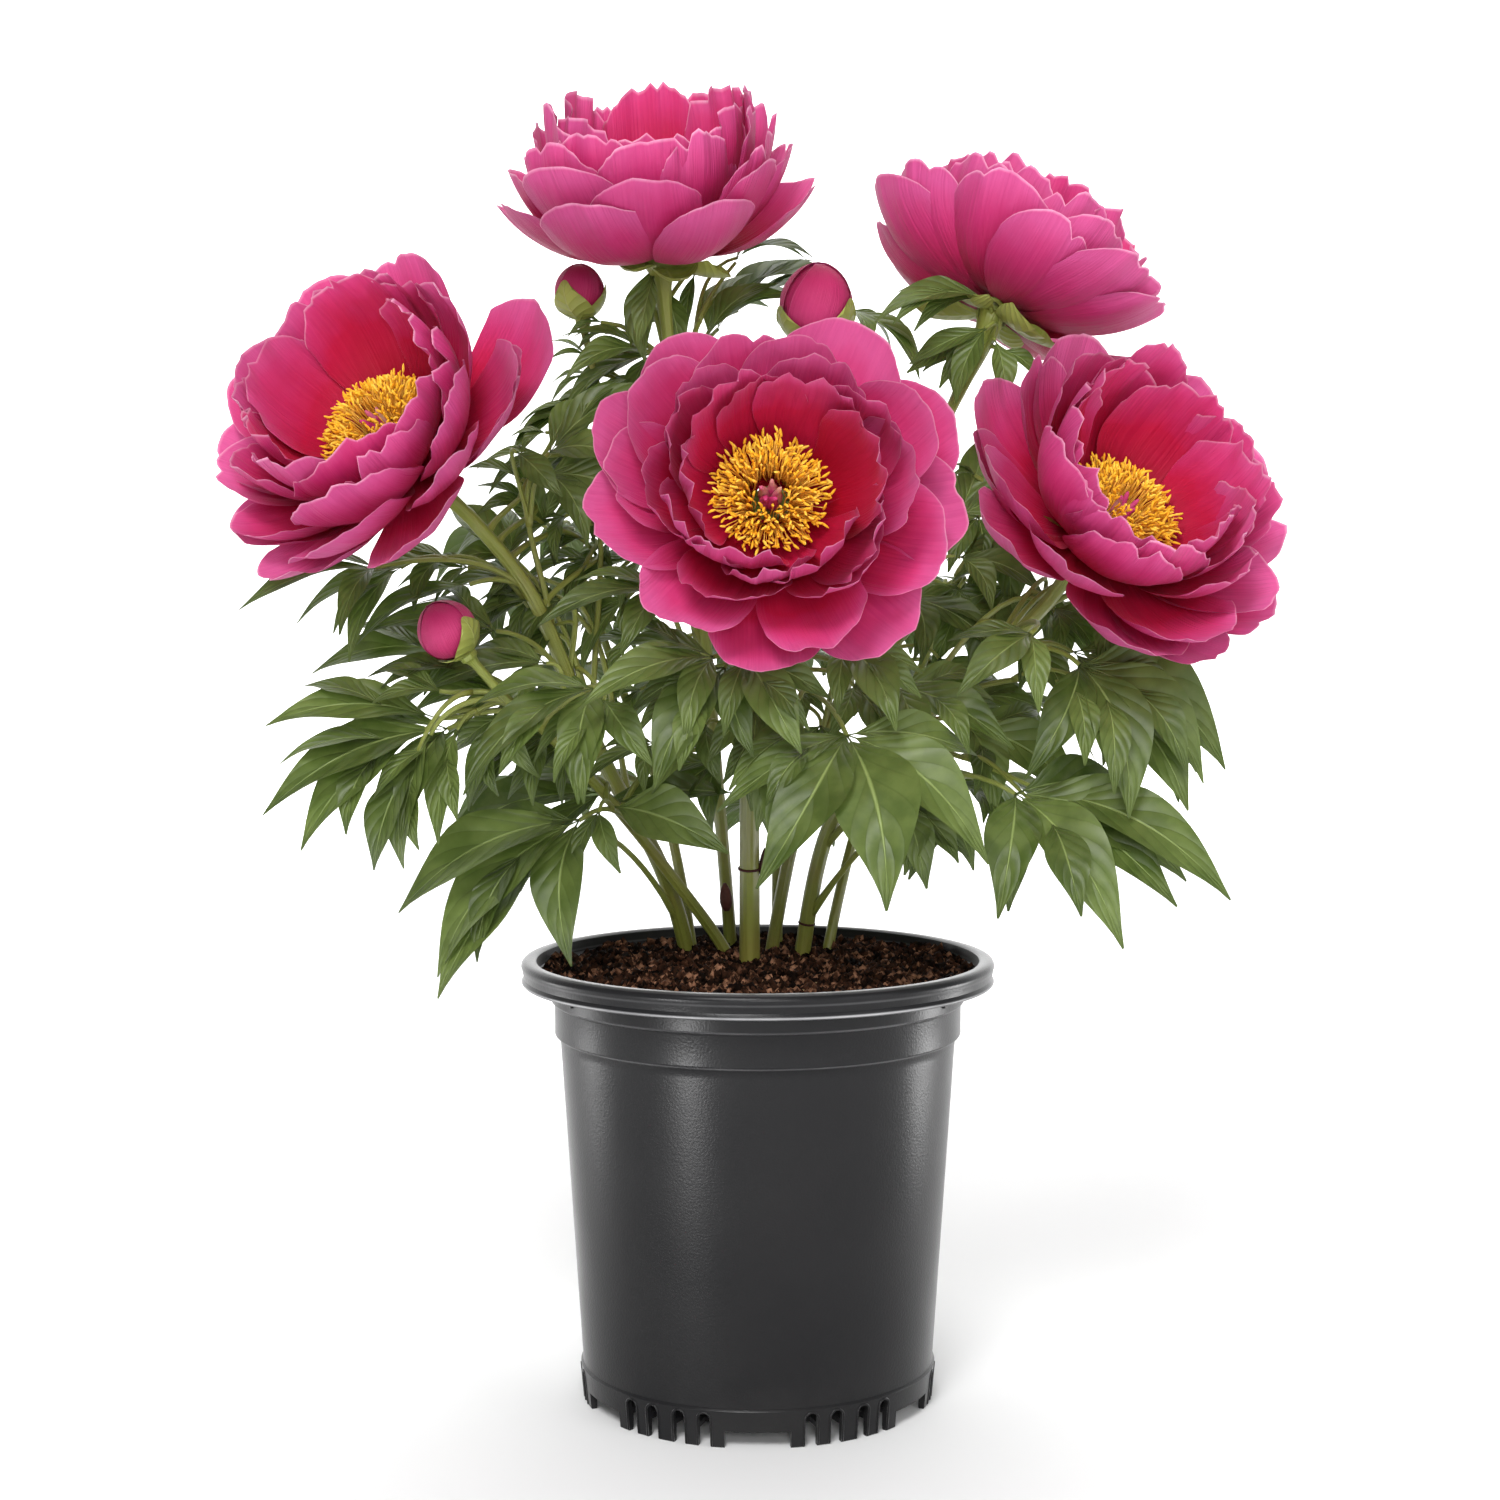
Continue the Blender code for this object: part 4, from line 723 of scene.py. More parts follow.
def petal_material(name, inside, outside, edge):
    """Silky petals: crimson at the foot, paler to the tip and outside, with a pale edge."""
    material, tree, shader = new_material(
        name, 0.50, Sheen_Weight=0.05, Sheen_Roughness=0.4, Specular_IOR_Level=0.18,
    )
    place, own = place_map(tree), tint(tree)
    across = off_middle(tree, place["X"])
    lines = effect(tree, STREAKS, Across=60.0, Along=1.4, Seed=own)["Mask"]
    patches = effect(tree, MOTTLE, Scale=60.0, Detail=3.0, Contrast=0.3)["Mask"]
    rise = maths(tree, "ADD", place["Y"], about_zero(tree, own, 0.44))
    rise = maths(tree, "ADD", rise, about_zero(tree, patches, 0.10))
    back = add(tree, "ShaderNodeNewGeometry").outputs["Backfacing"]
    colour = mixed(tree, back, ramp(tree, rise, inside), ramp(tree, rise, outside))
    rim = maths(tree, "MAXIMUM", span(tree, place["Y"], 0.962, 1.0), span(tree, across, 0.982, 1.0))
    pale_edge_share = maths(tree, "MULTIPLY_ADD", patches, 0.50, 0.38)
    colour = mixed(tree, maths(tree, "MULTIPLY", rim, pale_edge_share), colour, edge)
    deep = add(tree, "ShaderNodeHueSaturation", {"Color": colour, "Saturation": 1.05, "Value": 0.74})
    shade = maths(tree, "MULTIPLY", lines, maths(tree, "MULTIPLY_ADD", patches, 0.20, 0.16))
    colour = mixed(tree, shade, colour, deep.outputs["Color"])
    feed(tree, shader.inputs["Base Color"], colour)
    normal = relief(tree, shader, lines, 0.0005, 0.45)
    let_light_through(tree, shader, colour, 0.20, normal)
    return material


def leaf_material(name, dark, light, rib, underside, through, roughness):
    """A satin leaf with a pale midrib, side veins and puckers between them."""
    material, tree, shader = new_material(name, roughness, Specular_IOR_Level=0.36)
    own = tint(tree)
    veins = effect(tree, VEINS, Pairs=6.0, Slant=0.36, Rib_Width=0.040)
    patches = effect(tree, MOTTLE, Scale=90.0, Detail=5.0, Contrast=0.5)["Mask"]
    share = maths(tree, "MULTIPLY_ADD", patches, 0.40, maths(tree, "MULTIPLY", own, 0.60))
    top = mixed(tree, share, dark, light)
    top = mixed(tree, maths(tree, "MULTIPLY", veins["Veins"], 0.26), top, dark)
    top = mixed(tree, maths(tree, "MULTIPLY", veins["Rib"], 0.65), top, rib)
    below = mixed(tree, maths(tree, "MULTIPLY", patches, 0.35), underside, dark)
    below = mixed(tree, maths(tree, "MULTIPLY", veins["Rib"], 0.5), below, rib)
    back = add(tree, "ShaderNodeNewGeometry").outputs["Backfacing"]
    colour = mixed(tree, back, top, below)
    feed(tree, shader.inputs["Base Color"], colour)
    normal = relief(tree, shader, veins["Height"], 0.0005, 0.7)
    glow = mixed(tree, patches, through, light)
    let_light_through(tree, shader, glow, 0.18, normal)
    return material


def stalk_material(name, low, high, flush):
    """A ribbed green stalk, flushed with red-brown in patches and towards its foot."""
    material, tree, shader = new_material(name, 0.42, Specular_IOR_Level=0.45)
    place, own = place_map(tree), tint(tree)
    ribs = effect(tree, STREAKS, Across=9.0, Along=2.5, Seed=own)["Mask"]
    patches = effect(tree, MOTTLE, Scale=40.0, Detail=3.0, Contrast=0.4)["Mask"]
    colour = mixed(tree, place["Y"], low, high)
    colour = mixed(tree, maths(tree, "MULTIPLY", ribs, 0.55), colour, high)
    red = maths(tree, "MULTIPLY", patches, span(tree, place["Y"], 0.75, 0.0, 0.10, 0.55))
    feed(tree, shader.inputs["Base Color"], mixed(tree, red, colour, flush))
    relief(tree, shader, ribs, 0.0006, 0.8)
    return material


def grain_material(name, colours, roughness, scale, raised=0.0, gloss=0.12):
    """A dry, crumbly or mealy stuff whose grains differ in colour; on the soil its darkest patches are
    partly painted shade.
    """
    material, tree, shader = new_material(name, roughness, Specular_IOR_Level=gloss)
    own = tint(tree)
    patches = effect(tree, MOTTLE, Scale=scale, Detail=5.0, Contrast=0.6)["Mask"]
    # Where raised is given, the same patches also raise the surface, so its dips come out darker; on the
    # soil this is painted shade between clumps
    share = maths(tree, "MULTIPLY_ADD", patches, 0.4, maths(tree, "MULTIPLY", own, 0.6))
    stops = [(index / (len(colours) - 1), colour) for index, colour in enumerate(colours)]
    feed(tree, shader.inputs["Base Color"], ramp(tree, share, stops))
    if raised:
        relief(tree, shader, patches, raised, 0.8)
    return material


def pot_material(charcoal, dust_grey, painted_highlight_grey):
    """Charcoal moulded plastic: semi-gloss, faintly grained, dusty low down, with pale bands of painted
    highlight along its edges and lip.
    """
    material, tree, shader = new_material(
        "pot_plastic", 0.30, Specular_IOR_Level=0.20, Sheen_Weight=0.20, Sheen_Roughness=0.25,
    )
    grain = effect(tree, MOTTLE, Scale=900.0, Detail=2.0, Contrast=0.2)["Mask"]
    dust = effect(tree, MOTTLE, Scale=22.0, Detail=6.0, Contrast=0.5)["Mask"]
    place = add(tree, "ShaderNodeTexCoord").outputs["Object"]
    height = add(tree, "ShaderNodeSeparateXYZ", {"Vector": place}).outputs["Z"]
    dusty = maths(tree, "MULTIPLY", dust, span(tree, height, 0.05, 0.0, 0.04, 0.22))
    colour = mixed(tree, dusty, charcoal, dust_grey)
    # Painted highlights: pale grey bands at the heights of the pot's edges and lip, made uneven by the dust
    # mottle
    painted_highlight = 0.0
    for edge, strength in PAINTED_HIGHLIGHT_BANDS:
        away = maths(tree, "ABSOLUTE", maths(tree, "SUBTRACT", height, edge))
        line = span(tree, away, PAINTED_HIGHLIGHT_HALF_WIDTH, 0.0, 0.0, strength)
        painted_highlight = maths(tree, "ADD", painted_highlight, line)
    pale_edge_share = maths(tree, "MULTIPLY", painted_highlight, maths(tree, "MULTIPLY_ADD", dust, 0.5, 0.5))
    colour = mixed(tree, pale_edge_share, colour, painted_highlight_grey)
    feed(tree, shader.inputs["Base Color"], colour)
    feed(tree, shader.inputs["Roughness"], maths(tree, "MULTIPLY_ADD", dust, 0.05, 0.29))
    relief(tree, shader, grain, 0.00006, 0.6)
    return material


def studio_paper():
    """White paper, lit from behind away from the plant as a light table is."""
    material, tree, shader = new_material(
        "studio_paper", 0.9, Specular_IOR_Level=0.1, Base_Color=(0.90, 0.90, 0.90),
        Emission_Color=(1.0, 1.0, 1.0),
    )
    place = add(tree, "ShaderNodeTexCoord").outputs["Object"]
    far = add(tree, "ShaderNodeVectorMath", {0: place}, operation="LENGTH").outputs["Value"]
    feed(tree, shader.inputs["Emission Strength"], span(tree, far, 0.22, 1.6, 0.0, PAPER_BRIGHTNESS))
    return material


# Sheets, tubes and solids of revolution

class Skin:
    """The points and faces of a piece, with each point's place on its petal or leaf and its tint."""

    def __init__(self):
        self.points, self.faces, self.places, self.tints = [], [], [], []

    def add(self, points, faces, places, tint_share):
        """Adds a shape's points, faces and places, with one tint."""
        first = len(self.points)
        self.points += points
        self.faces += [tuple(first + i for i in face) for face in faces]
        self.places += places
        self.tints += [tint_share] * len(points)

    def block(self, points, faces, tint_share=0.5):
        """Adds a shape that needs no place map."""
        self.add(points, faces, [(0.0, 0.0)] * len(points), tint_share)

    def sheet(self, rows, tint_share):
        """Adds a sheet of rows of points, which runs from its foot to its tip and faces up or in."""
        width, last = len(rows[0]), len(rows) - 1
        faces = [
            (i * width + j, (i + 1) * width + j, (i + 1) * width + j + 1, i * width + j + 1)
            for i in range(last)
            for j in range(width - 1)
        ]
        places = [(j / (width - 1), i / last) for i in range(last + 1) for j in range(width)]
        self.add([point for row in rows for point in row], faces, places, tint_share)

    def tube(self, path, radii, sides, tint_share, low=0.0, high=1.0):
        """Adds a round tube along a path; its place map runs from low to high along it."""
        heading = (path[1] - path[0]).normalized()
        across = heading.orthogonal().normalized()
        points, places = [], []
        for index, point in enumerate(path):
            heading = (path[min(index + 1, len(path) - 1)] - path[max(index - 1, 0)]).normalized()
            across = (across - heading * across.dot(heading)).normalized()
            third = heading.cross(across)
            for side in range(sides):
                angle = math.tau * side / sides
                points.append(point + (across * math.cos(angle) + third * math.sin(angle)) * radii[index])
                places.append((side / sides, low + (high - low) * index / (len(path) - 1)))
        faces = []
        for ring in range(len(path) - 1):
            for side in range(sides):
                after = (side + 1) % sides
                here, above = ring * sides, (ring + 1) * sides
                faces.append((here + side, here + after, above + after, above + side))
        faces.append(tuple(range(sides - 1, -1, -1)))
        faces.append(tuple(len(points) - sides + side for side in range(sides)))
        self.add(points, faces, places, tint_share)

    def mesh(self, name):
        """A mesh of what was added, with its place map and tints."""
        mesh = bpy.data.meshes.new(name)
        mesh.from_pydata(self.points, [], self.faces)
        layer = mesh.uv_layers.new(name="place")
        corners = [0.0] * (2 * len(mesh.loops))
        for loop in mesh.loops:
            corners[2 * loop.index:2 * loop.index + 2] = self.places[loop.vertex_index]
        layer.data.foreach_set("uv", corners)
        mesh.attributes.new("tint", "FLOAT", "POINT").data.foreach_set("value", self.tints)
        mesh.shade_smooth()
        return mesh


def place_object(name, data):
    """A new object of a mesh, a light or a camera, in the scene."""
    made = bpy.data.objects.new(name, data)
    bpy.context.scene.collection.objects.link(made)
    return made


def show(name, mesh, material, slot, *nodes):
    """Puts a piece on the plant in place of the solids that it stands for."""
    mesh.materials.append(material)
    piece = place_object(name, mesh)
    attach(piece, "root")
    if nodes:
        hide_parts(*nodes)
    return piece


def bezier(run, t):
    """A point on a cubic Bezier curve."""
    a, b, c, d = (Vector(point) for point in run)
    s = 1 - t
    return a * s**3 + b * 3 * s * s * t + c * 3 * s * t * t + d * t**3


def bezier_heading(run, t):
    """The direction of a cubic Bezier curve."""
    a, b, c, d = (Vector(point) for point in run)
    s = 1 - t
    return ((b - a) * s * s + (c - b) * 2 * s * t + (d - c) * t * t).normalized()


def smooth_path(knots, steps):
    """Points on a smooth curve through the knots, with so many steps from one knot to the next."""
    path = []
    for index in range(len(knots) - 1):
        first = knots[max(index - 1, 0)]
        start, end = knots[index], knots[index + 1]
        last = knots[min(index + 2, len(knots) - 1)]
        for step in range(steps):
            t = step / steps
            path.append(
                0.5 * (2 * start + (end - first) * t + (2 * first - 5 * start + 4 * end - last) * t**2
                       + (3 * start - first - 3 * end + last) * t**3)
            )
    path.append(knots[-1])
    return path


def on_path(path, share):
    """The point at a share of a path's steps."""
    place = share * (len(path) - 1)
    index = min(int(place), len(path) - 2)
    return path[index].lerp(path[index + 1], place - index)


def out_and_aside(angle):
    """The level directions out from the middle at an angle in radians, and square to it."""
    out = Vector((math.cos(angle), math.sin(angle), 0))
    return out, Vector((-out.y, out.x, 0))


def smooth_step(low, high, value):
    """The smooth place of a value between two others."""
    t = max(0.0, min(1.0, (value - low) / (high - low)))
    return t * t * (3 - 2 * t)


def lathe_mesh(name, outline, sides):
    """A mesh turned about +Z from its outline (radius, height); ends on the axis are closed."""
    skin = Skin()
    rings = [point for point in outline if point[0] > 0]
    points = [
        (radius * math.cos(math.tau * side / sides), radius * math.sin(math.tau * side / sides), height)
        for radius, height in rings
        for side in range(sides)
    ]
    faces = [
        (r * sides + s, r * sides + (s + 1) % sides, (r + 1) * sides + (s + 1) % sides, (r + 1) * sides + s)
        for r in range(len(rings) - 1)
        for s in range(sides)
    ]
    top = (len(rings) - 1) * sides
    points += [(0, 0, outline[0][1]), (0, 0, outline[-1][1])]
    for side in range(sides):
        after = (side + 1) % sides
        faces.append((len(points) - 2, after, side))
        faces.append((len(points) - 1, top + side, top + after))
    skin.block(points, faces)
    return skin.mesh(name)


def arc(middle, radius, start, end, steps):
    """Points on an arc (radius, height) about its middle, between two angles in degrees."""
    turns = [math.radians(start + (end - start) * step / steps) for step in range(steps + 1)]
    return [(middle[0] + radius * math.cos(turn), middle[1] + radius * math.sin(turn)) for turn in turns]


# Blooms and buds

def flower_frame(flower):
    """The matrix that carries a flower's millimetres from its own frame to the plant, in metres."""
    tilt = UP.rotation_difference(Vector(flower["facing"]).normalized()).to_matrix().to_4x4()
    turn = Matrix.Rotation(math.radians(flower.get("turn", 0)), 4, "Z")
    grown = Matrix.Diagonal((flower["size"], flower["size"], flower["size"] * flower["stretch"], 1))
    return Matrix.Translation(Vector(flower["base"]) * MM) @ tilt @ turn @ grown @ Matrix.Scale(MM, 4)


def petal_width(v):
    """The share of its full width that a petal has along its length: narrow at its foot."""
    return 0.13 + 0.87 * math.sin(math.pi / 2 * min(v / 0.60, 1)) ** 1.1


def petal_teeth(across, seed):
    """How far the edge of a petal's tip stands out, uneven and in teeth, in millimetres."""
    return sum(
        depth * noise.noise((across * fine, seed, 5 * depth))
        for depth, fine in EDGE_TEETH
    )


def petal_wave(u, v, seed):
    """A petal's waves: a slow one all over it, and a quicker one along its edges."""
    return 1.4 * noise.noise((u * 2.2, v * 1.3, seed)) + 0.5 * u * u * math.sin(8 * v + seed)


def petal_frill(across, seed):
    """The crimps of a petal's tip."""
    return math.sin(across * 0.42 + seed) + 0.5 * math.sin(across * 0.85 + 2 * seed)


def petal(skin, layer, turn, share, place, draw, low, own, rows=PETAL_ROWS, columns=PETAL_COLUMNS):
    """One petal, a spoon with a round, waved and frilled tip, in the frame of its bloom."""
    seed = draw.uniform(0, 100)
    notch = draw.choice(NOTCHES)
    notch_at = draw.uniform(-NOTCH_ASIDE, NOTCH_ASIDE)
    skew = draw.uniform(-PETAL_SKEW, PETAL_SKEW)
    curl = layer["curl"] + draw.uniform(-PETAL_CURL, PETAL_CURL)
    around = Matrix.Rotation(math.radians(turn), 3, "Z")
    around @= Matrix.Rotation(math.radians(layer["nod"] * draw.uniform(-1, 1)), 3, "Y")
    cup = layer["cup"] * draw.uniform(*PETAL_CUPS)
    half = layer["half"] * draw.uniform(*PETAL_HALVES)
    sheet = []
    for i in range(rows + 1):
        t = 1 - (1 - i / rows) ** TIP_CROWDING
        row = []
        for j in range(columns + 1):
            u = math.sin(math.pi * (j / columns - 0.5))
            teeth = layer["frill"] * petal_teeth(u * half, seed) / USUAL_LENGTH
            cleft = notch * max(0.0, 1 - abs(u - notch_at) / NOTCH_HALF_WIDTH) ** 1.5
            round_tip = TIP_ROUND * (1 - math.sqrt(1 - TIP_SQUARENESS * u * u))
            v = t * (1 - round_tip - (cleft - teeth) * t**3)
            radius, height = bezier(layer["run"], v)
            out, rise = bezier_heading(layer["run"], v)
            angle = u * half * petal_width(v) / cup
            point = Vector((radius, cup * math.sin(angle), height * (1 - low * t)))
            lift = cup * (1 - math.cos(angle)) + layer["pinwheel"] * u * v**0.7 + skew * u * v
            lift += layer["wave"] * v**2 * petal_wave(u, v, seed)
            lift += layer["frill"] * t**6 * petal_frill(u * half, seed)
            lift += 0.5 * v * noise.noise((u * 6.0, v * 3.0, seed + 9))
            lift -= curl * max(0.0, v - CURL_FROM) ** 2 / CURL_SCALE
            point += Vector((-rise, 0, out)) * lift
            row.append(place @ (around @ point * share))
        sheet.append(row)
    skin.sheet(sheet, own)


def petal_turns(flower, rank):
    """Where the petals of a layer point: given for the outer layers, even for the inner ones."""
    if rank < len(flower["turns"]):
        return flower["turns"][rank]
    layer = PETAL_LAYERS[rank]
    return [layer["turn"] + 360 * index / layer["count"] for index in range(layer["count"])]


def build_bloom(name, flower):
    """A bloom: layers of petals, a crowd of stamens, and carpels in the middle."""
    draw = random.Random("bloom " + name)
    place = flower_frame(flower)
    petals = Skin()
    near = place.inverted().to_3x3() @ (Vector(CAMERA_AT) - place.translation)
    for rank, layer in enumerate(PETAL_LAYERS):
        inside = rank / (len(PETAL_LAYERS) - 1)
        for turn in petal_turns(flower, rank):
            turn += draw.uniform(-PETAL_ASIDE, PETAL_ASIDE)
            facing = max(0.0, math.cos(math.radians(turn) - math.atan2(near.y, near.x)))
            low = flower["dip"] * facing * inside
            share = draw.uniform(*PETAL_LENGTHS) * flower["reach"][rank]
            for side, more in flower["longer"]:
                away = (turn - side + 180) % 360 - 180
                share *= 1 + more * math.exp(-((away / LONGER_SPREAD) ** 2))
            own = 0.5 * (1 - inside) + 0.5 * draw.random()
            petal(petals, layer, turn, share, place, draw, low, own)
    show("bloom_%s_petals" % name, petals.mesh("petals"), PETAL, "petal", "petals_" + name)
    build_stamens(name, place, draw)
    build_carpels(name, place, draw)


def build_stamens(name, place, draw):
    """The stamens: thin filaments that lean out from the middle, each with a long anther."""
    filaments, anthers = Skin(), Skin()
    inner_foot, outer_foot = STAMEN_FOOT
    least, most = STAMEN_REACH
    lowest, highest = STAMEN_HEIGHT
    for index in range(STAMENS):
        ring = math.sqrt((index + 0.5) / STAMENS)
        out, aside = out_and_aside(index * STAMEN_TURN + draw.uniform(-0.15, 0.15))
        foot = out * (inner_foot + (outer_foot - inner_foot) * ring) + UP * STAMEN_FOOT_HEIGHT
        reach = least + (most - least) * ring * draw.uniform(0.8, 1.0)
        height = highest - (highest - lowest) * ring**2 * draw.uniform(0.6, 1.2)
        top = out * reach + aside * draw.uniform(-2.2, 2.2) + UP * (height - draw.uniform(0, 3.5))
        bend = foot.lerp(top, 0.55) + UP * 2.5 - out * draw.uniform(0.5, 2.5)
        bend += aside * draw.uniform(-1.5, 1.5)
        run = (foot, foot.lerp(bend, 0.6), bend, top)
        path = [place @ bezier(run, step / FILAMENT_STEPS) for step in range(FILAMENT_STEPS + 1)]
        filaments.tube(path, [FILAMENT_RADIUS] * len(path), FILAMENT_SIDES, draw.random())
        tilt = Vector((draw.uniform(-0.8, 0.8), draw.uniform(-0.8, 0.8), 0.2))
        way = ((top - bend).normalized() + tilt).normalized()
        length = ANTHER_LENGTH * draw.uniform(*ANTHER_LENGTHS)
        curl = Vector((draw.uniform(-1, 1), draw.uniform(-1, 1), draw.uniform(-1, 1))) * 0.9
        points = [
            place @ (top + way * (t - ANTHER_HELD_AT) * length + curl * (t - 0.5) ** 2 * 2)
            for t in ANTHER_PLACES
        ]
        anthers.tube(points, [r * MM for r in ANTHER_RADII], ANTHER_SIDES, draw.random())
    show("bloom_%s_filaments" % name, filaments.mesh("filaments"), FILAMENT, "stamen", "stamens_" + name)
    show("bloom_%s_anthers" % name, anthers.mesh("anthers"), ANTHER, "stamen", "stamens_" + name)


def build_carpels(name, place, draw):
    """The carpels: a knot of downy flasks, each with a curled stigma."""
    skin = Skin()
    for index in range(CARPELS):
        out, aside = out_and_aside(math.tau * index / CARPELS + draw.uniform(-0.2, 0.2))
        run = [out * away + aside * across + UP * up for away, across, up in CARPEL_RUN]
        last = len(CARPEL_RADII) - 1
        path = [place @ bezier(run, step / last) for step in range(last + 1)]
        skin.tube(path, [r * MM for r in CARPEL_RADII], CARPEL_SIDES, draw.random())
    show("bloom_%s_carpels" % name, skin.mesh("carpels"), CARPEL, "carpel", "carpels_" + name)


def bud_point(angle, polar, lift):
    """A point on a bud's ball, lifted off it, in the bud's own millimetres."""
    flat = math.sin(polar)
    out = Vector((math.cos(angle) * flat, math.sin(angle) * flat, -math.cos(polar)))
    point = out * (BUD_RADIUS + lift) + UP * BUD_RADIUS
    point.z += BUD_TIP * smooth_step(BUD_TIP_FROM, math.pi, polar)
    return point


def build_bud(name, flower):
    """A closed bud: broad petals wrapped over one another round a ball."""
    draw = random.Random(name)
    place = flower_frame(flower)
    skin = Skin()
    for index in range(BUD_PETALS):
        start = index * 2.2 + draw.uniform(-0.2, 0.2)
        lift = -0.4 * index - 0.3
        rows = []
        for i in range(BUD_ROWS + 1):
            t = i / BUD_ROWS
            row = []
            for j in range(BUD_COLUMNS + 1):
                u = 2 * j / BUD_COLUMNS - 1
                polar = 0.10 + (math.pi - 0.12) * t * (1 - 0.06 * abs(u) ** 2)
                turn = start + u * (1.25 - 0.25 * t) + 0.9 * t
                edge = 0.35 * abs(u) ** 6 + 0.12 * noise.noise((u * 3, t * 3, index))
                row.append(place @ bud_point(turn, polar, lift + edge))
            rows.append(row)
        skin.sheet(rows, 0.15 + 0.6 * draw.random())
    show(name + "_closed", skin.mesh("bud"), BUD_PETAL, "petal", name)


def bud_sepals(skin, flower, draw):
    """Green sepals that hug a bud, cupped and pointed."""
    place = flower_frame(flower)
    for index, (heading, reach) in enumerate(flower["sepals"]):
        rows = []
        for i in range(BUD_SEPAL_ROWS + 1):
            t = i / BUD_SEPAL_ROWS
            broad = 1.05 * math.sin(math.pi * (0.16 + 0.78 * t)) ** 0.6
            row = []
            for j in range(BUD_SEPAL_COLUMNS + 1):
                u = 2 * j / BUD_SEPAL_COLUMNS - 1
                polar = BUD_SEPAL_FROM + (reach - BUD_SEPAL_FROM) * t * (1 - 0.22 * abs(u) ** 2)
                half = broad / max(0.55, math.sin(polar))
                turn = math.radians(heading) + u * half * 0.85
                lift = 1.0 + 0.8 * t * abs(u) ** 3 + 0.5 * noise.noise((u, t * 2, index))
                row.append(place @ bud_point(turn, polar, lift))
            rows.append(row)
        skin.sheet(rows, draw.random())


# Stems and leaves

def leaf_lean(hub):
    """How far a leaf's face leans from level: out from the middle, and to the light in front."""
    out = Vector((hub.x, hub.y - CROWN_Y, 0)).normalized()
    front = max(0.0, min(1.0, (FRONT_FROM - hub.y) / FRONT_DEPTH))
    return out * LEAN_OUT + FRONT * LEAN_FORWARD * front


def stalk_run(start, end, ahead):
    """The Bezier curve of a stalk that leaves on the rise and comes to its hub in line with it."""
    length = (end - start).length
    rise = ((end - start).normalized() + UP * STALK_RISE).normalized()
    return start, start + rise * length * STALK_PULL, end - ahead * length * STALK_PULL, end


def lobe_width(s):
    """The share of its full width that a lobe has along its length, narrow at its foot."""
    blade = max(0.0, (s - LOBE_FOOT) / (1 - LOBE_FOOT))
    return max(0.0, math.sin(math.pi * blade**0.9)) ** 1.25


def lobe(leaves, hub, ahead, aside, normal, size, angle, draw):
    """One lobe of a leaf: pointed, bowed, folded along its rib, and waved."""
    bend = draw.uniform(-LOBE_BEND, LOBE_BEND)
    wave = draw.uniform(0, 6)
    twist = LOBE_TWIST * draw.uniform(*LOBE_TWISTS)
    broad = LOBE_HALF_WIDTH * draw.uniform(*LOBE_WIDTHS)
    rows, middles = [], []
    for i in range(LOBE_ROWS + 1):
        s = i / LOBE_ROWS
        turn = angle + bend * s * s + LOBE_SWEEP * angle * s * s
        way = ahead * math.cos(turn) + aside * math.sin(turn)
        across = aside * math.cos(turn) - ahead * math.sin(turn)
        rise = 4 * LOBE_BOW * s * (1 - s) - (LOBE_DROP * abs(angle) + LOBE_TIP_DROOP * s) * s * s
        middle = hub + (way * s + normal * rise) * size
        reach = broad * size * lobe_width(s) + LEAST_HALF_WIDTH
        row = []
        for j in range(LOBE_COLUMNS + 1):
            u = 2 * j / LOBE_COLUMNS - 1
            lift = LOBE_FOLD * abs(u) ** 1.4 * reach + twist * u * reach * min(1.0, 4 * s)
            lift += LOBE_WAVE * reach * u * u * math.sin(EDGE_WAVES * s + wave + (1.5 if u > 0 else 0))
            row.append(middle + across * u * reach + normal * lift)
        rows.append(row)
        middles.append((middle, way, across))
    leaves.sheet(rows, draw.random())
    return middles


def leaflet_group(leaves, hub, tip, lobes, draw):
    """The lobes that spread from a leaflet group's hub; some fork once more towards their tips."""
    length = (tip - hub).length
    ahead = (tip - hub).normalized()
    face = UP + leaf_lean(hub)
    normal = (face - ahead * face.dot(ahead)).normalized()
    aside = normal.cross(ahead)
    spread = math.radians(LOBE_SPREAD[lobes]) * LOBE_OPENING
    gap = spread / (lobes - 1) if lobes > 1 else 0.0
    for index in range(lobes):
        angle = gap * (2 * index - lobes + 1)
        loss = SIDE_LOBE_LOSS * (abs(angle) / max(spread, 0.5)) ** 1.5
        size = length * (1 - loss) * draw.uniform(*LOBE_SIZES)
        middles = lobe(leaves, hub, ahead, aside, normal, size, angle, draw)
        if draw.random() < FORK_SHARE and size > SHORTEST_FORKED:
            hand = 1 if draw.random() < 0.5 else -1
            middle, way, across = middles[int(LOBE_ROWS * FORK_START)]
            foot = middle - normal * FORK_DROP
            fork_size = size * draw.uniform(*FORK_SIZES)
            lobe(leaves, foot, way, across, normal, fork_size, hand * FORK_ANGLE, draw)


def stalk_width(t):
    """The share of its thickness that a stalk has along its length, swollen at its foot."""
    return 1.25 - 0.2 * t if t < 2 / STALK_STEPS else 1 - 0.35 * t


def leaf(stalks, leaves, path, share, groups, draw):
    """A leaf: a stalk to its first leaflet group, and branches from it to the others."""
    start, thick = on_path(path, share), STALK_RADIUS
    for index, (hub, tip, lobes) in enumerate(groups):
        hub, tip = Vector(hub) * MM, Vector(tip) * MM
        run = stalk_run(start, hub, (tip - hub).normalized())
        steps = [step / STALK_STEPS for step in range(STALK_STEPS + 1)]
        curve = [bezier(run, t) for t in steps]
        radii = [thick * stalk_width(t) for t in steps]
        stalks.tube(curve, radii, STALK_SIDES, draw.random(), STALK_COLOUR_FROM)
        leaflet_group(leaves, hub, tip, lobes, draw)
        if index == 0:
            start, thick = bezier(run, BRANCHING), STALK_RADIUS * BRANCH_THICKNESS


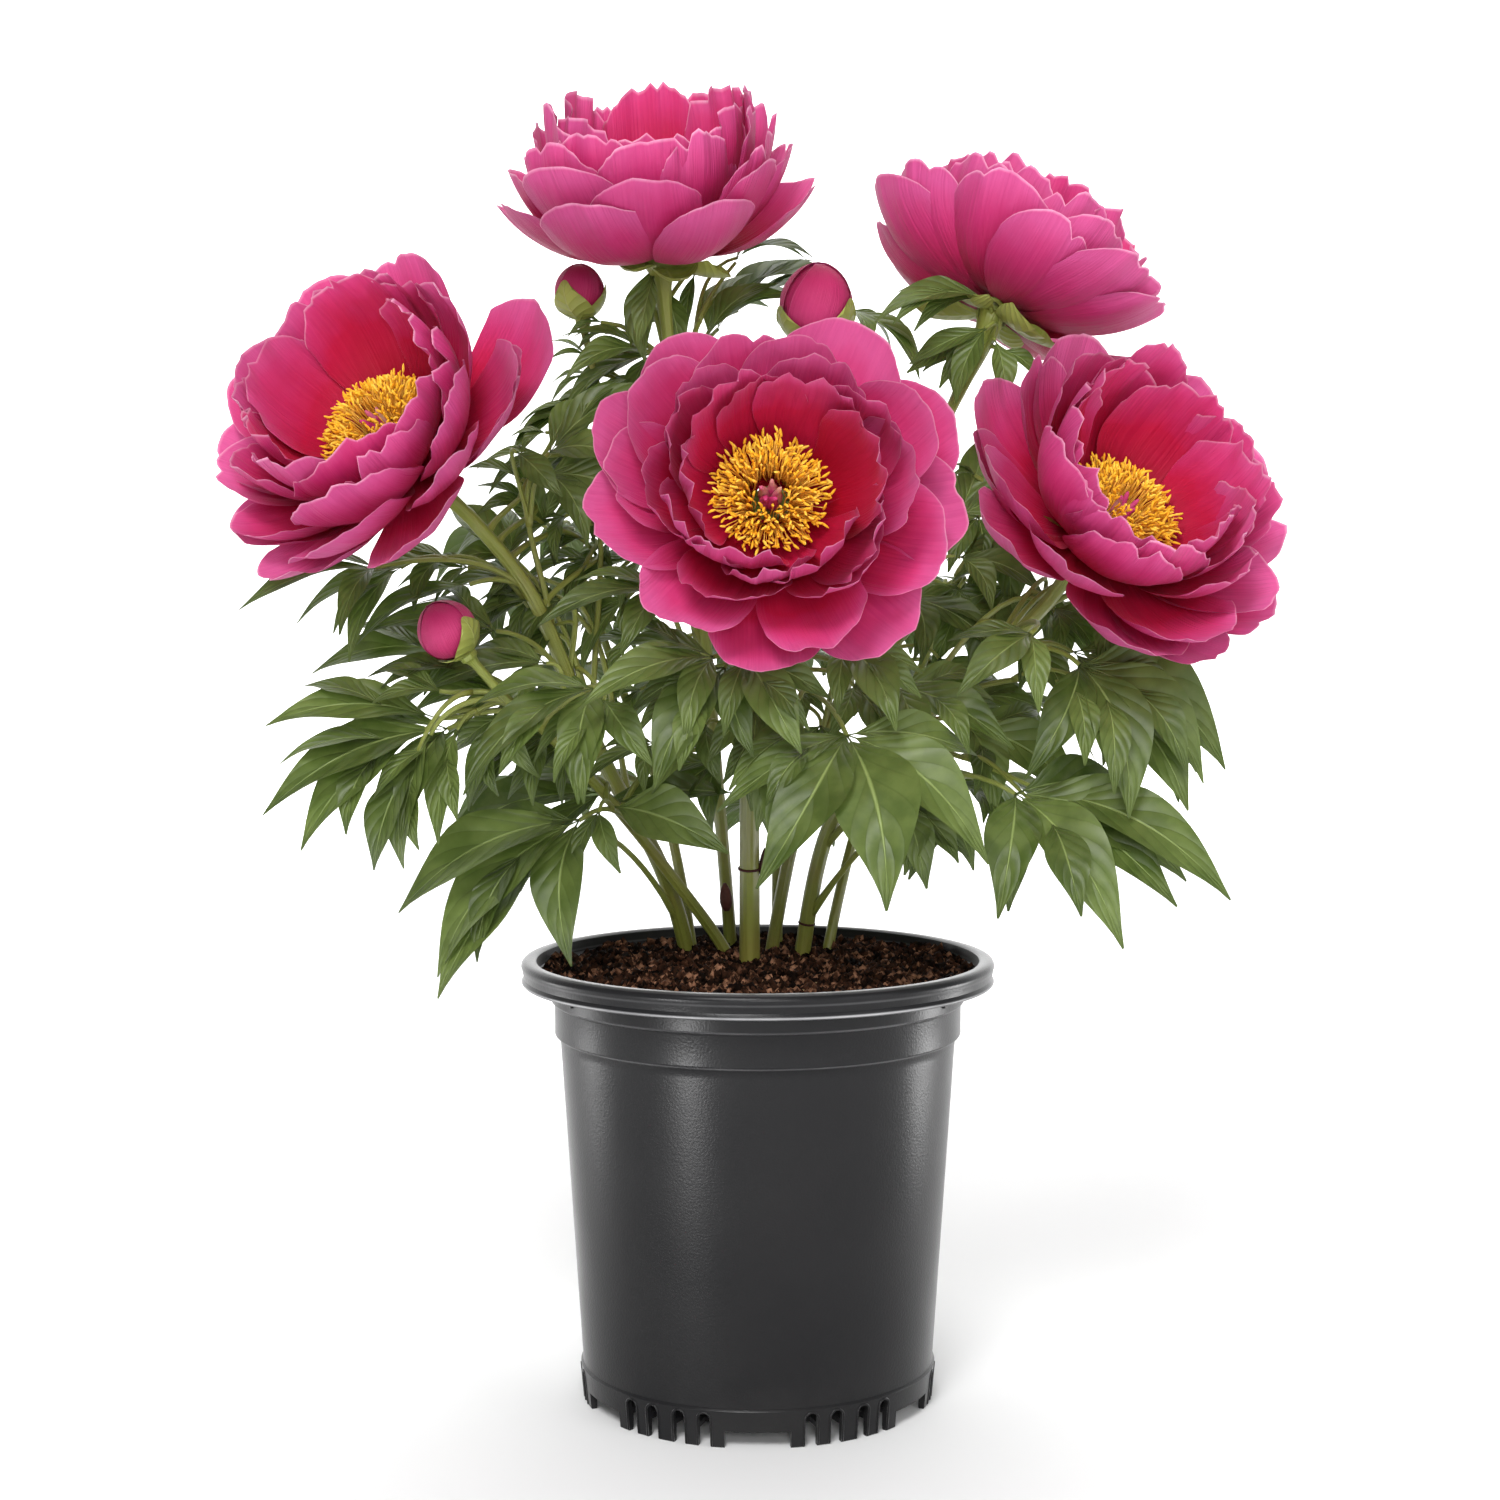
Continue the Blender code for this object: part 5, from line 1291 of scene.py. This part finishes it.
def open_leaf(start, heading, reach, rise, length):
    """The leaflet groups, in millimetres, of a whole leaf that heads away from its stem."""
    out, aside = out_and_aside(math.radians(heading))
    hub = start / MM + out * reach + UP * rise
    groups = [(hub, hub + (out - UP * OPEN_DROOP) * length, 3)]
    for hand in (-1, 1):
        side = hub + (aside * hand * 0.9 - out) * length * OPEN_BACK
        way = (out * 0.45 + aside * hand * 0.9).normalized()
        groups.append((side, side + (way - UP * OPEN_DROOP) * length * OPEN_SIDE, 3))
    return groups


def is_bloom(flower):
    """True for an open bloom, and False for a bud."""
    return "turns" in flower


def stem_tube(stalks, knots, foot_radius, top_radius, flower, draw):
    """A tapering stem through its knots, which widens to a calyx under its flower."""
    path = smooth_path(knots, STEM_STEPS)
    last = len(path) - 1
    radii = [MM * (foot_radius + (top_radius - foot_radius) * i / last) for i in range(last + 1)]
    if flower:
        base, facing = Vector(flower["base"]) * MM, Vector(flower["facing"]).normalized()
        size = flower["size"] * MM
        ends = [base - facing * depth * size for depth in CALYX_DEPTHS] + [base - facing * 0.0003]
        extra = smooth_path([path[-1], *ends], CALYX_STEPS)[1:]
        calyx = CALYX_RADII if is_bloom(flower) else BUD_CALYX_RADII
        widths = [top_radius * MM, *(radius * size for radius in calyx), calyx[-1] * size]
        path += extra
        for step in range(len(extra)):
            index, t = step // CALYX_STEPS, (step % CALYX_STEPS + 1) / CALYX_STEPS
            grown = t**3 if index == 0 else t
            radii.append(widths[index] + (widths[index + 1] - widths[index]) * grown)
    stalks.tube(path, radii, STEM_SIDES, draw.random())


def stem_path(name):
    """The points of the solid's stem, whose shares say where leaves and shoots leave it."""
    knots = [Vector(knot) * MM for knot in STEMS[name][-1]]
    foot = Vector((knots[0].x, knots[0].y, HOLE_BOTTOM))
    return [foot] + smooth_path(knots, 2)


def knots_of(name):
    """A stem's knots, from the bottom of its hole up."""
    return stem_path(name)[:1] + [Vector(knot) * MM for knot in STEMS[name][-1]]


def stem_ring(skin, path, share, radius):
    """A thin brown ring, a little proud of the stem at one of its joints."""
    middle = on_path(path, share)
    heading = (on_path(path, share + 0.02) - middle).normalized()
    points = [middle + heading * along * MM for along in RING_ALONG]
    skin.tube(points, [radius * grown for grown in RING_GROWN], RING_SIDES, 0.1)


def resting_bud(skin, foot, tip, half, draw):
    """A small bud in brown scales that has not opened, pressed to its stem."""
    last = len(RESTING_SWELL) - 1
    path = [foot.lerp(tip, step / last) for step in range(last + 1)]
    skin.tube(path, [half * share for share in RESTING_SWELL], RESTING_SIDES, draw.random())


def build_stem(name):
    """A leafy stem with its side shoot, its sepals and its leaves."""
    draw = random.Random("stem " + name)
    foot_radius, top_radius, flower = STEMS[name][:3]
    path = stem_path(name)
    stalks, leaves, sepals = Skin(), Skin(), Skin()
    stem_tube(stalks, knots_of(name), foot_radius, top_radius, flower, draw)
    flowers = [flower] if flower else []
    if name in SHOOTS:
        share, bud, points = SHOOTS[name]
        knots = [on_path(path, share)] + [Vector(point) * MM for point in points]
        stem_tube(stalks, knots, SHOOT_RADIUS, SHOOT_RADIUS, bud, draw)
        flowers.append(bud)
    for carried in flowers:
        if is_bloom(carried):
            place, grid = flower_frame(carried), (SEPAL_ROWS, SEPAL_COLUMNS)
            for turn, share in carried["sepals"]:
                petal(sepals, SEPAL_LAYER, turn, share, place, draw, 0.0, draw.random(), *grid)
        else:
            bud_sepals(sepals, carried, draw)
    for share, groups in LEAVES.get(name, ()) + SMALL_LEAVES.get(name, ()):
        leaf(stalks, leaves, path, share, groups, draw)
    for share, *values in OPEN_LEAVES.get(name, ()) + SMALL_OPEN_LEAVES.get(name, ()):
        leaf(stalks, leaves, path, share, open_leaf(on_path(path, share), *values), draw)
    node = "stem_" + name
    browns = Skin()
    if name in RINGS:
        stem_ring(browns, smooth_path(knots_of(name), STEM_STEPS), RINGS[name], foot_radius * MM)
    for foot, tip, half in RESTING_BUDS.get(name, ()):
        resting_bud(browns, Vector(foot) * MM, Vector(tip) * MM, half * MM, draw)
    if browns.points:
        show(node + "_scales", browns.mesh("scales"), SCALE, "leaf", node)
    show(node + "_stalks", stalks.mesh("stalks"), STALK, "leaf", node)
    show(node + "_leaves", leaves.mesh("leaves"), LEAF, "leaf", node)
    if flowers:
        show(node + "_sepals", sepals.mesh("sepals"), SEPAL, "leaf", node)


# The pot and its soil

def wall_radius(height):
    """The pot's outer radius on its tapering wall."""
    return FOOT_RADIUS + (WALL_TOP_RADIUS - FOOT_RADIUS) * height / BAND_HEIGHT


def pot_outline():
    """The pot's section (radius, height): floor, foot, wall, two ledges, rolled lip and inside."""
    lip_low = POT_HEIGHT - LIP_DEPTH
    skirt = wall_radius(SKIRT_HEIGHT) + SKIRT_STEP
    return [
        (0, FLOOR_TOP - FLOOR),
        (FOOT_RADIUS - WALL, FLOOR_TOP - FLOOR),
        (FOOT_RADIUS - WALL, 0.0003),
        (FOOT_RADIUS - WALL + 0.0004, 0),
        (FOOT_RADIUS + 0.0003, 0),
        (FOOT_RADIUS + SKIRT_FOOT_STEP, 0.0004),
        (skirt, SKIRT_HEIGHT - 0.0004),
        (skirt - 0.0005, SKIRT_HEIGHT + 0.0004),
        (wall_radius(SKIRT_HEIGHT) + 0.0002, SKIRT_HEIGHT + 0.0008),
        (wall_radius(0.022), 0.022),
        (wall_radius(0.07), 0.07),
        (wall_radius(0.12), 0.12),
        (wall_radius(0.1740), 0.1740),
        (WALL_TOP_RADIUS, BAND_HEIGHT - 0.0012),
        (WALL_TOP_RADIUS + 0.0006, BAND_HEIGHT - 0.0003),
        *arc((BAND_RADIUS - 0.0012, BAND_HEIGHT + 0.0014), 0.0012, -60, 0, 4),
        (BAND_RADIUS, LEDGE_HEIGHT - 0.0016),
        (BAND_RADIUS + 0.0004, LEDGE_HEIGHT - 0.0006),
        *arc((LEDGE_RADIUS - 0.0010, LEDGE_HEIGHT + 0.0008), 0.0010, -60, 0, 4),
        (LEDGE_RADIUS, lip_low + 0.0012),
        (LIP_RADIUS - 0.0034, lip_low + 0.0006),
        *arc((LIP_RADIUS - 0.0014, lip_low + 0.0012), 0.0012, -100, 10, 5),
        (LIP_RADIUS - 0.0012, lip_low + 0.0032),
        (LIP_RADIUS - 0.0004, POT_HEIGHT - 0.0042),
        *arc((LIP_RADIUS - 0.0031, POT_HEIGHT - 0.0031), 0.0031, 0, 90, 8),
        (MOUTH_RADIUS + 0.0016, POT_HEIGHT),
        (MOUTH_RADIUS + 0.0003, POT_HEIGHT - 0.0008),
        (MOUTH_RADIUS - 0.0008, SOIL_TOP + 0.0015),
        (LEDGE_RADIUS - 0.0005, SOIL_TOP - 0.0011),
        (LEDGE_RADIUS - WALL, SOIL_TOP - 0.0045),
        (WALL_TOP_RADIUS - WALL, BAND_HEIGHT),
        (wall_radius(FLOOR_TOP) - WALL, FLOOR_TOP),
        (0, FLOOR_TOP),
    ]


def gap_cutter(middle):
    """A wedge that cuts one wide gap in the pot's foot."""
    corners = []
    for height in (CUT_LOW, GAP_HEIGHT):
        for hand, reach in ((-1, CUT_INNER), (-1, CUT_OUTER), (1, CUT_OUTER), (1, CUT_INNER)):
            turn = math.radians(middle + hand * GAP_HALF_ANGLE)
            corners.append((reach * math.cos(turn), reach * math.sin(turn), height))
    return corners, [(3, 2, 1, 0), (4, 5, 6, 7), (0, 1, 5, 4), (1, 2, 6, 5), (2, 3, 7, 6), (3, 0, 4, 7)]


def slot_profile(half_width, low):
    """A slot's outline (across, height) with a round top."""
    over = arc((0, SLOT_HEIGHT - half_width), half_width, 0, 180, 10)
    return [(-half_width, low), (half_width, low), *over]


def slot_cutter(middle):
    """A bar with a round top that cuts one narrow slot through the pot's foot and wall."""
    profile = slot_profile(SLOT_HALF_WIDTH, CUT_LOW)
    turn = Matrix.Rotation(math.radians(middle), 3, "Z")
    reaches = (CUT_INNER, CUT_OUTER)
    corners = [
        turn @ Vector((reach, across, height))
        for reach in reaches
        for across, height in profile
    ]
    count = len(profile)
    faces = [tuple(range(count - 1, -1, -1)), tuple(range(count, 2 * count))]
    faces += [(i, (i + 1) % count, count + (i + 1) % count, count + i) for i in range(count)]
    return corners, faces


def build_pot():
    """The pot with the cuts in its foot, the rims round its slots and the lugs under its lip."""
    pot = show("pot_shell", lathe_mesh("pot", pot_outline(), POT_SIDES), POT, "pot", "pot")
    cutters, rims = Skin(), Skin()
    for gap in range(GAP_COUNT):
        middle = 360 * gap / GAP_COUNT - 90
        cutters.block(*gap_cutter(middle))
        for angle in SLOT_ANGLES:
            cutters.block(*slot_cutter(middle + angle))
            slot_rim(rims, middle + angle)
    cutter = place_object("foot_cuts", cutters.mesh("foot_cuts"))
    modifier = pot.modifiers.new("foot cuts", "BOOLEAN")
    modifier.operation = "DIFFERENCE"
    modifier.solver = "EXACT"
    modifier.object = cutter
    graph = bpy.context.evaluated_depsgraph_get()
    cut = bpy.data.meshes.new_from_object(pot.evaluated_get(graph))
    pot.modifiers.clear()
    pot.data = cut
    bpy.data.objects.remove(cutter)
    cut.shade_smooth()
    cut.set_sharp_from_angle(angle=math.radians(SMOOTH_ANGLE))
    for turn in LUG_TURNS:
        lip_lug(rims, turn)
    show("pot_slot_rims", rims.mesh("rims"), POT, "pot")


def slot_rim(rims, middle):
    """The raised rim that runs up, over and down one slot."""
    turn = Matrix.Rotation(math.radians(middle), 3, "Z")
    left_foot, *rest = slot_profile(SLOT_HALF_WIDTH + RIM_GAP, RIM_LOW)
    foot = FOOT_RADIUS + SKIRT_FOOT_STEP
    path = []
    for across, height in [*rest, left_foot]:
        face = foot + (wall_radius(SKIRT_HEIGHT) + SKIRT_STEP - foot) * height / SKIRT_HEIGHT
        path.append(turn @ Vector((math.sqrt(face * face - across * across), across, height)))
    rims.tube(path, [RIM_RADIUS] * len(path), RIM_SIDES, 0.5)


def lip_lug(rims, middle):
    """A small upright lug under the lip, which keeps stacked pots apart."""
    turn = Matrix.Rotation(math.radians(middle), 3, "Z")
    section = arc((0, 0), 1.0, -90, 90, 6)
    path = [turn @ Vector((LEDGE_RADIUS, 0, height)) for height in (LUG_LOW, LUG_HIGH)]
    points = [
        foot + turn @ Vector((LUG_OUT * out, LUG_HALF_WIDTH * across, 0))
        for foot in path
        for out, across in section
    ]
    count = len(section)
    faces = [(side, side + 1, count + side + 1, count + side) for side in range(count - 1)]
    faces += [tuple(range(count - 1, -1, -1)), tuple(range(count, 2 * count))]
    rims.block(points, faces)


def soil_height(x, y):
    """The soil's height: a low dome, banked up to the lip, with lumps and dips."""
    radius = math.hypot(x, y)
    far = radius / SOIL_RADIUS
    dome = SOIL_DOME * (1 - far * far)
    bank = BANK_RISE * smooth_step(BANK_FROM, SOIL_RADIUS, radius)
    lumps = noise.fractal((x * 60, y * 60, 3.0), 0.8, 2.1, 4)
    fine = noise.fractal((x * 300, y * 300, 8.0), 0.7, 2.2, 3)
    return SOIL_TOP - SOIL_SINK + dome + bank + SOIL_RELIEF * lumps + FINE_RELIEF * fine


def build_soil():
    """The soil's crumbly top, loose crumbs and bits of straw on it."""
    draw = random.Random("soil")
    rows = []
    for ring in range(SOIL_RINGS + 1):
        radius = SOIL_RADIUS * (ring / SOIL_RINGS) ** RING_CROWDING
        row = []
        for side in range(SOIL_SIDES + 1):
            angle = math.tau * (side % SOIL_SIDES) / SOIL_SIDES
            x, y = radius * math.cos(angle), radius * math.sin(angle)
            row.append(Vector((x, y, soil_height(x, y))))
        rows.append(row)
    top = Skin()
    top.sheet(rows, 0.3)
    show("soil_top", top.mesh("soil_top"), SOIL, "soil", "soil")
    crumbs = Skin()
    for _ in range(CRUMBS):
        crumb(crumbs, draw)
    show("soil_crumbs", crumbs.mesh("crumbs"), SOIL_CRUMB, "soil", "soil")
    straws = Skin()
    for _ in range(STRAWS):
        straw(straws, draw)
    show("soil_straws", straws.mesh("straws"), STRAW, "soil", "soil")


def crumb(skin, draw):
    """One crumb of bark or peat: a rough eight-sided chip, half sunk in the soil."""
    radius = (SOIL_RADIUS - 0.002) * math.sqrt(draw.random())
    angle = draw.uniform(0, math.tau)
    x, y = radius * math.cos(angle), radius * math.sin(angle)
    size = SMALLEST_CRUMB + CRUMB_GROWTH * draw.random() ** CRUMB_RARITY
    lengths = [size * draw.uniform(0.7, 1.5) for _ in range(3)]
    turn = Matrix.Rotation(draw.uniform(0, 6.3), 3, "Z")
    turn @= Matrix.Rotation(draw.uniform(-0.6, 0.6), 3, "X")
    middle = Vector((x, y, soil_height(x, y) + size * CRUMB_PROUD))
    points = []
    for axis in CRUMB_AXES:
        corner = Vector([a * length * draw.uniform(0.7, 1.2) for a, length in zip(axis, lengths)])
        points.append(middle + turn @ corner)
    skin.block(points, CRUMB_FACES, draw.random())


def straw(skin, draw):
    """One bent bit of straw or root on the soil."""
    radius = SOIL_RADIUS * 0.92 * math.sqrt(draw.random())
    angle = draw.uniform(0, 6.3)
    way = draw.uniform(0, 6.3)
    x, y = radius * math.cos(angle), radius * math.sin(angle)
    length = draw.uniform(*STRAW_LENGTHS)
    bow = draw.uniform(-STRAW_BOW, STRAW_BOW)
    path = []
    for step in range(STRAW_STEPS + 1):
        t = step / STRAW_STEPS - 0.5
        px = x + math.cos(way) * t * length - math.sin(way) * bow * (0.25 - t * t) * 4
        py = y + math.sin(way) * t * length + math.cos(way) * bow * (0.25 - t * t) * 4
        if math.hypot(px, py) > SOIL_RADIUS - 0.001:
            return
        path.append(Vector((px, py, soil_height(px, py) + STRAW_LIFT)))
    skin.tube(path, [draw.uniform(*STRAW_RADII)] * len(path), 5, draw.random())


# The studio

def build_studio():
    """A pale floor that curves up into a backdrop, soft lights and the camera."""
    bend = arc((FLOOR_BACK, BEND_RADIUS), BEND_RADIUS, -90, 0, 15)
    section = [(FLOOR_FRONT, 0.0), *bend, (FLOOR_BACK + BEND_RADIUS, BACKDROP_TOP)]
    skin = Skin()
    sides = (-FLOOR_HALF_WIDTH, FLOOR_HALF_WIDTH)
    skin.sheet([[Vector((x, y, z)) for y, z in section] for x in sides], 0.5)
    floor = place_object("studio_floor", skin.mesh("floor"))
    floor.data.materials.append(studio_paper())
    world = bpy.data.worlds.new("studio_air")
    world.use_nodes = True
    air = world.node_tree.nodes["Background"]
    feed(world.node_tree, air.inputs["Color"], (1.0, 1.0, 1.0))
    feed(world.node_tree, air.inputs["Strength"], AIR_BRIGHTNESS)
    bpy.context.scene.world = world
    bpy.context.scene.view_settings.view_transform = "Standard"
    for name, (at, towards, size, power, on_matt) in LIGHTS.items():
        data = bpy.data.lights.new(name, "AREA")
        data.shape = "DISK"
        data.size = size
        data.energy = power
        light = place_object(name, data)
        light.location = at
        light.visible_camera = False
        light.visible_diffuse = on_matt
        light.rotation_euler = (Vector(towards) - Vector(at)).to_track_quat("-Z", "Y").to_euler()
    camera = place_object("camera", bpy.data.cameras.new("camera"))
    camera.location = CAMERA_AT
    camera.rotation_euler = (math.radians(CAMERA_PITCH), 0, 0)
    camera.data.lens = CAMERA_LENS
    camera.data.shift_x = CAMERA_SHIFT
    bpy.context.scene.camera = camera


PETAL = petal_material(
    "petal_silk",
    inside=((0.0, (0.32, 0.001, 0.008)), (0.45, (0.55, 0.011, 0.062)),
            (0.76, (0.66, 0.052, 0.205)), (1.0, (0.71, 0.115, 0.330))),
    outside=((0.0, (0.36, 0.004, 0.032)), (0.32, (0.46, 0.014, 0.088)),
             (0.68, (0.52, 0.034, 0.160)), (1.0, (0.58, 0.085, 0.265))),
    edge=(0.90, 0.46, 0.64),
)
BUD_PETAL = petal_material(
    "bud_silk",
    inside=((0.0, (0.46, 0.015, 0.09)), (1.0, (0.60, 0.060, 0.21))),
    outside=((0.0, (0.40, 0.010, 0.070)), (0.5, (0.58, 0.048, 0.180)), (1.0, (0.44, 0.018, 0.100))),
    edge=(0.72, 0.20, 0.38),
)
LEAF = leaf_material(
    "leaf_satin", dark=(0.038, 0.060, 0.010), light=(0.135, 0.185, 0.044), rib=(0.30, 0.38, 0.12),
    underside=(0.125, 0.175, 0.065), through=(0.08, 0.16, 0.010), roughness=0.40,
)
SEPAL = leaf_material(
    "sepal_satin", dark=(0.200, 0.250, 0.045), light=(0.40, 0.45, 0.100), rib=(0.42, 0.45, 0.14),
    underside=(0.33, 0.37, 0.080), through=(0.28, 0.36, 0.05), roughness=0.45,
)
STALK = stalk_material(
    "stalk_green", low=(0.14, 0.15, 0.020), high=(0.22, 0.26, 0.045), flush=(0.19, 0.13, 0.035),
)
SCALE = grain_material(
    "scale_brown", ((0.030, 0.010, 0.008), (0.085, 0.030, 0.022)), 0.5, scale=180, raised=0.0004,
)
FILAMENT = grain_material(
    "filament_gold", ((0.80, 0.36, 0.02), (0.88, 0.56, 0.10)), 0.5, scale=200,
)
ANTHER = grain_material(
    "anther_gold", ((0.76, 0.32, 0.012), (0.89, 0.52, 0.035), (0.95, 0.69, 0.11)), 0.65, scale=300,
)
CARPEL = grain_material(
    "carpel_down", ((0.42, 0.02, 0.11), (0.50, 0.06, 0.18), (0.52, 0.34, 0.20)), 0.6, scale=150,
)
# The pale grey is the colour of the painted highlights along the pot's edges and lip
POT = pot_material(
    charcoal=(0.010, 0.010, 0.011), dust_grey=(0.045, 0.043, 0.041), painted_highlight_grey=(0.42, 0.42, 0.43),
)
# The soil: its own dark brown, with near-black patches that are partly painted shade between clumps and in
# its dips
SOIL = grain_material(
    "soil_dark", ((0.001, 0.0005, 0.0004), (0.005, 0.002, 0.001), (0.04, 0.017, 0.010)),
    0.9, scale=260, raised=0.003, gloss=0.03,
)
# Crumbs: their own browns, with dark mottle patches that are partly painted shade between clumps
SOIL_CRUMB = grain_material(
    "soil_crumb",
    ((0.001, 0.0005, 0.0004), (0.007, 0.003, 0.0015), (0.042, 0.017, 0.009), (0.34, 0.17, 0.10)),
    0.85, scale=150, gloss=0.05,
)
STRAW = grain_material("straw_dry", ((0.16, 0.09, 0.04), (0.42, 0.30, 0.16)), 0.7, scale=120)

build_pot()
build_soil()
for stem in STEMS:
    build_stem(stem)
for bloom, flower_values in BLOOMS.items():
    build_bloom(bloom, flower_values)
for bud, flower_values in BUDS.items():
    build_bud(bud, flower_values)
build_studio()
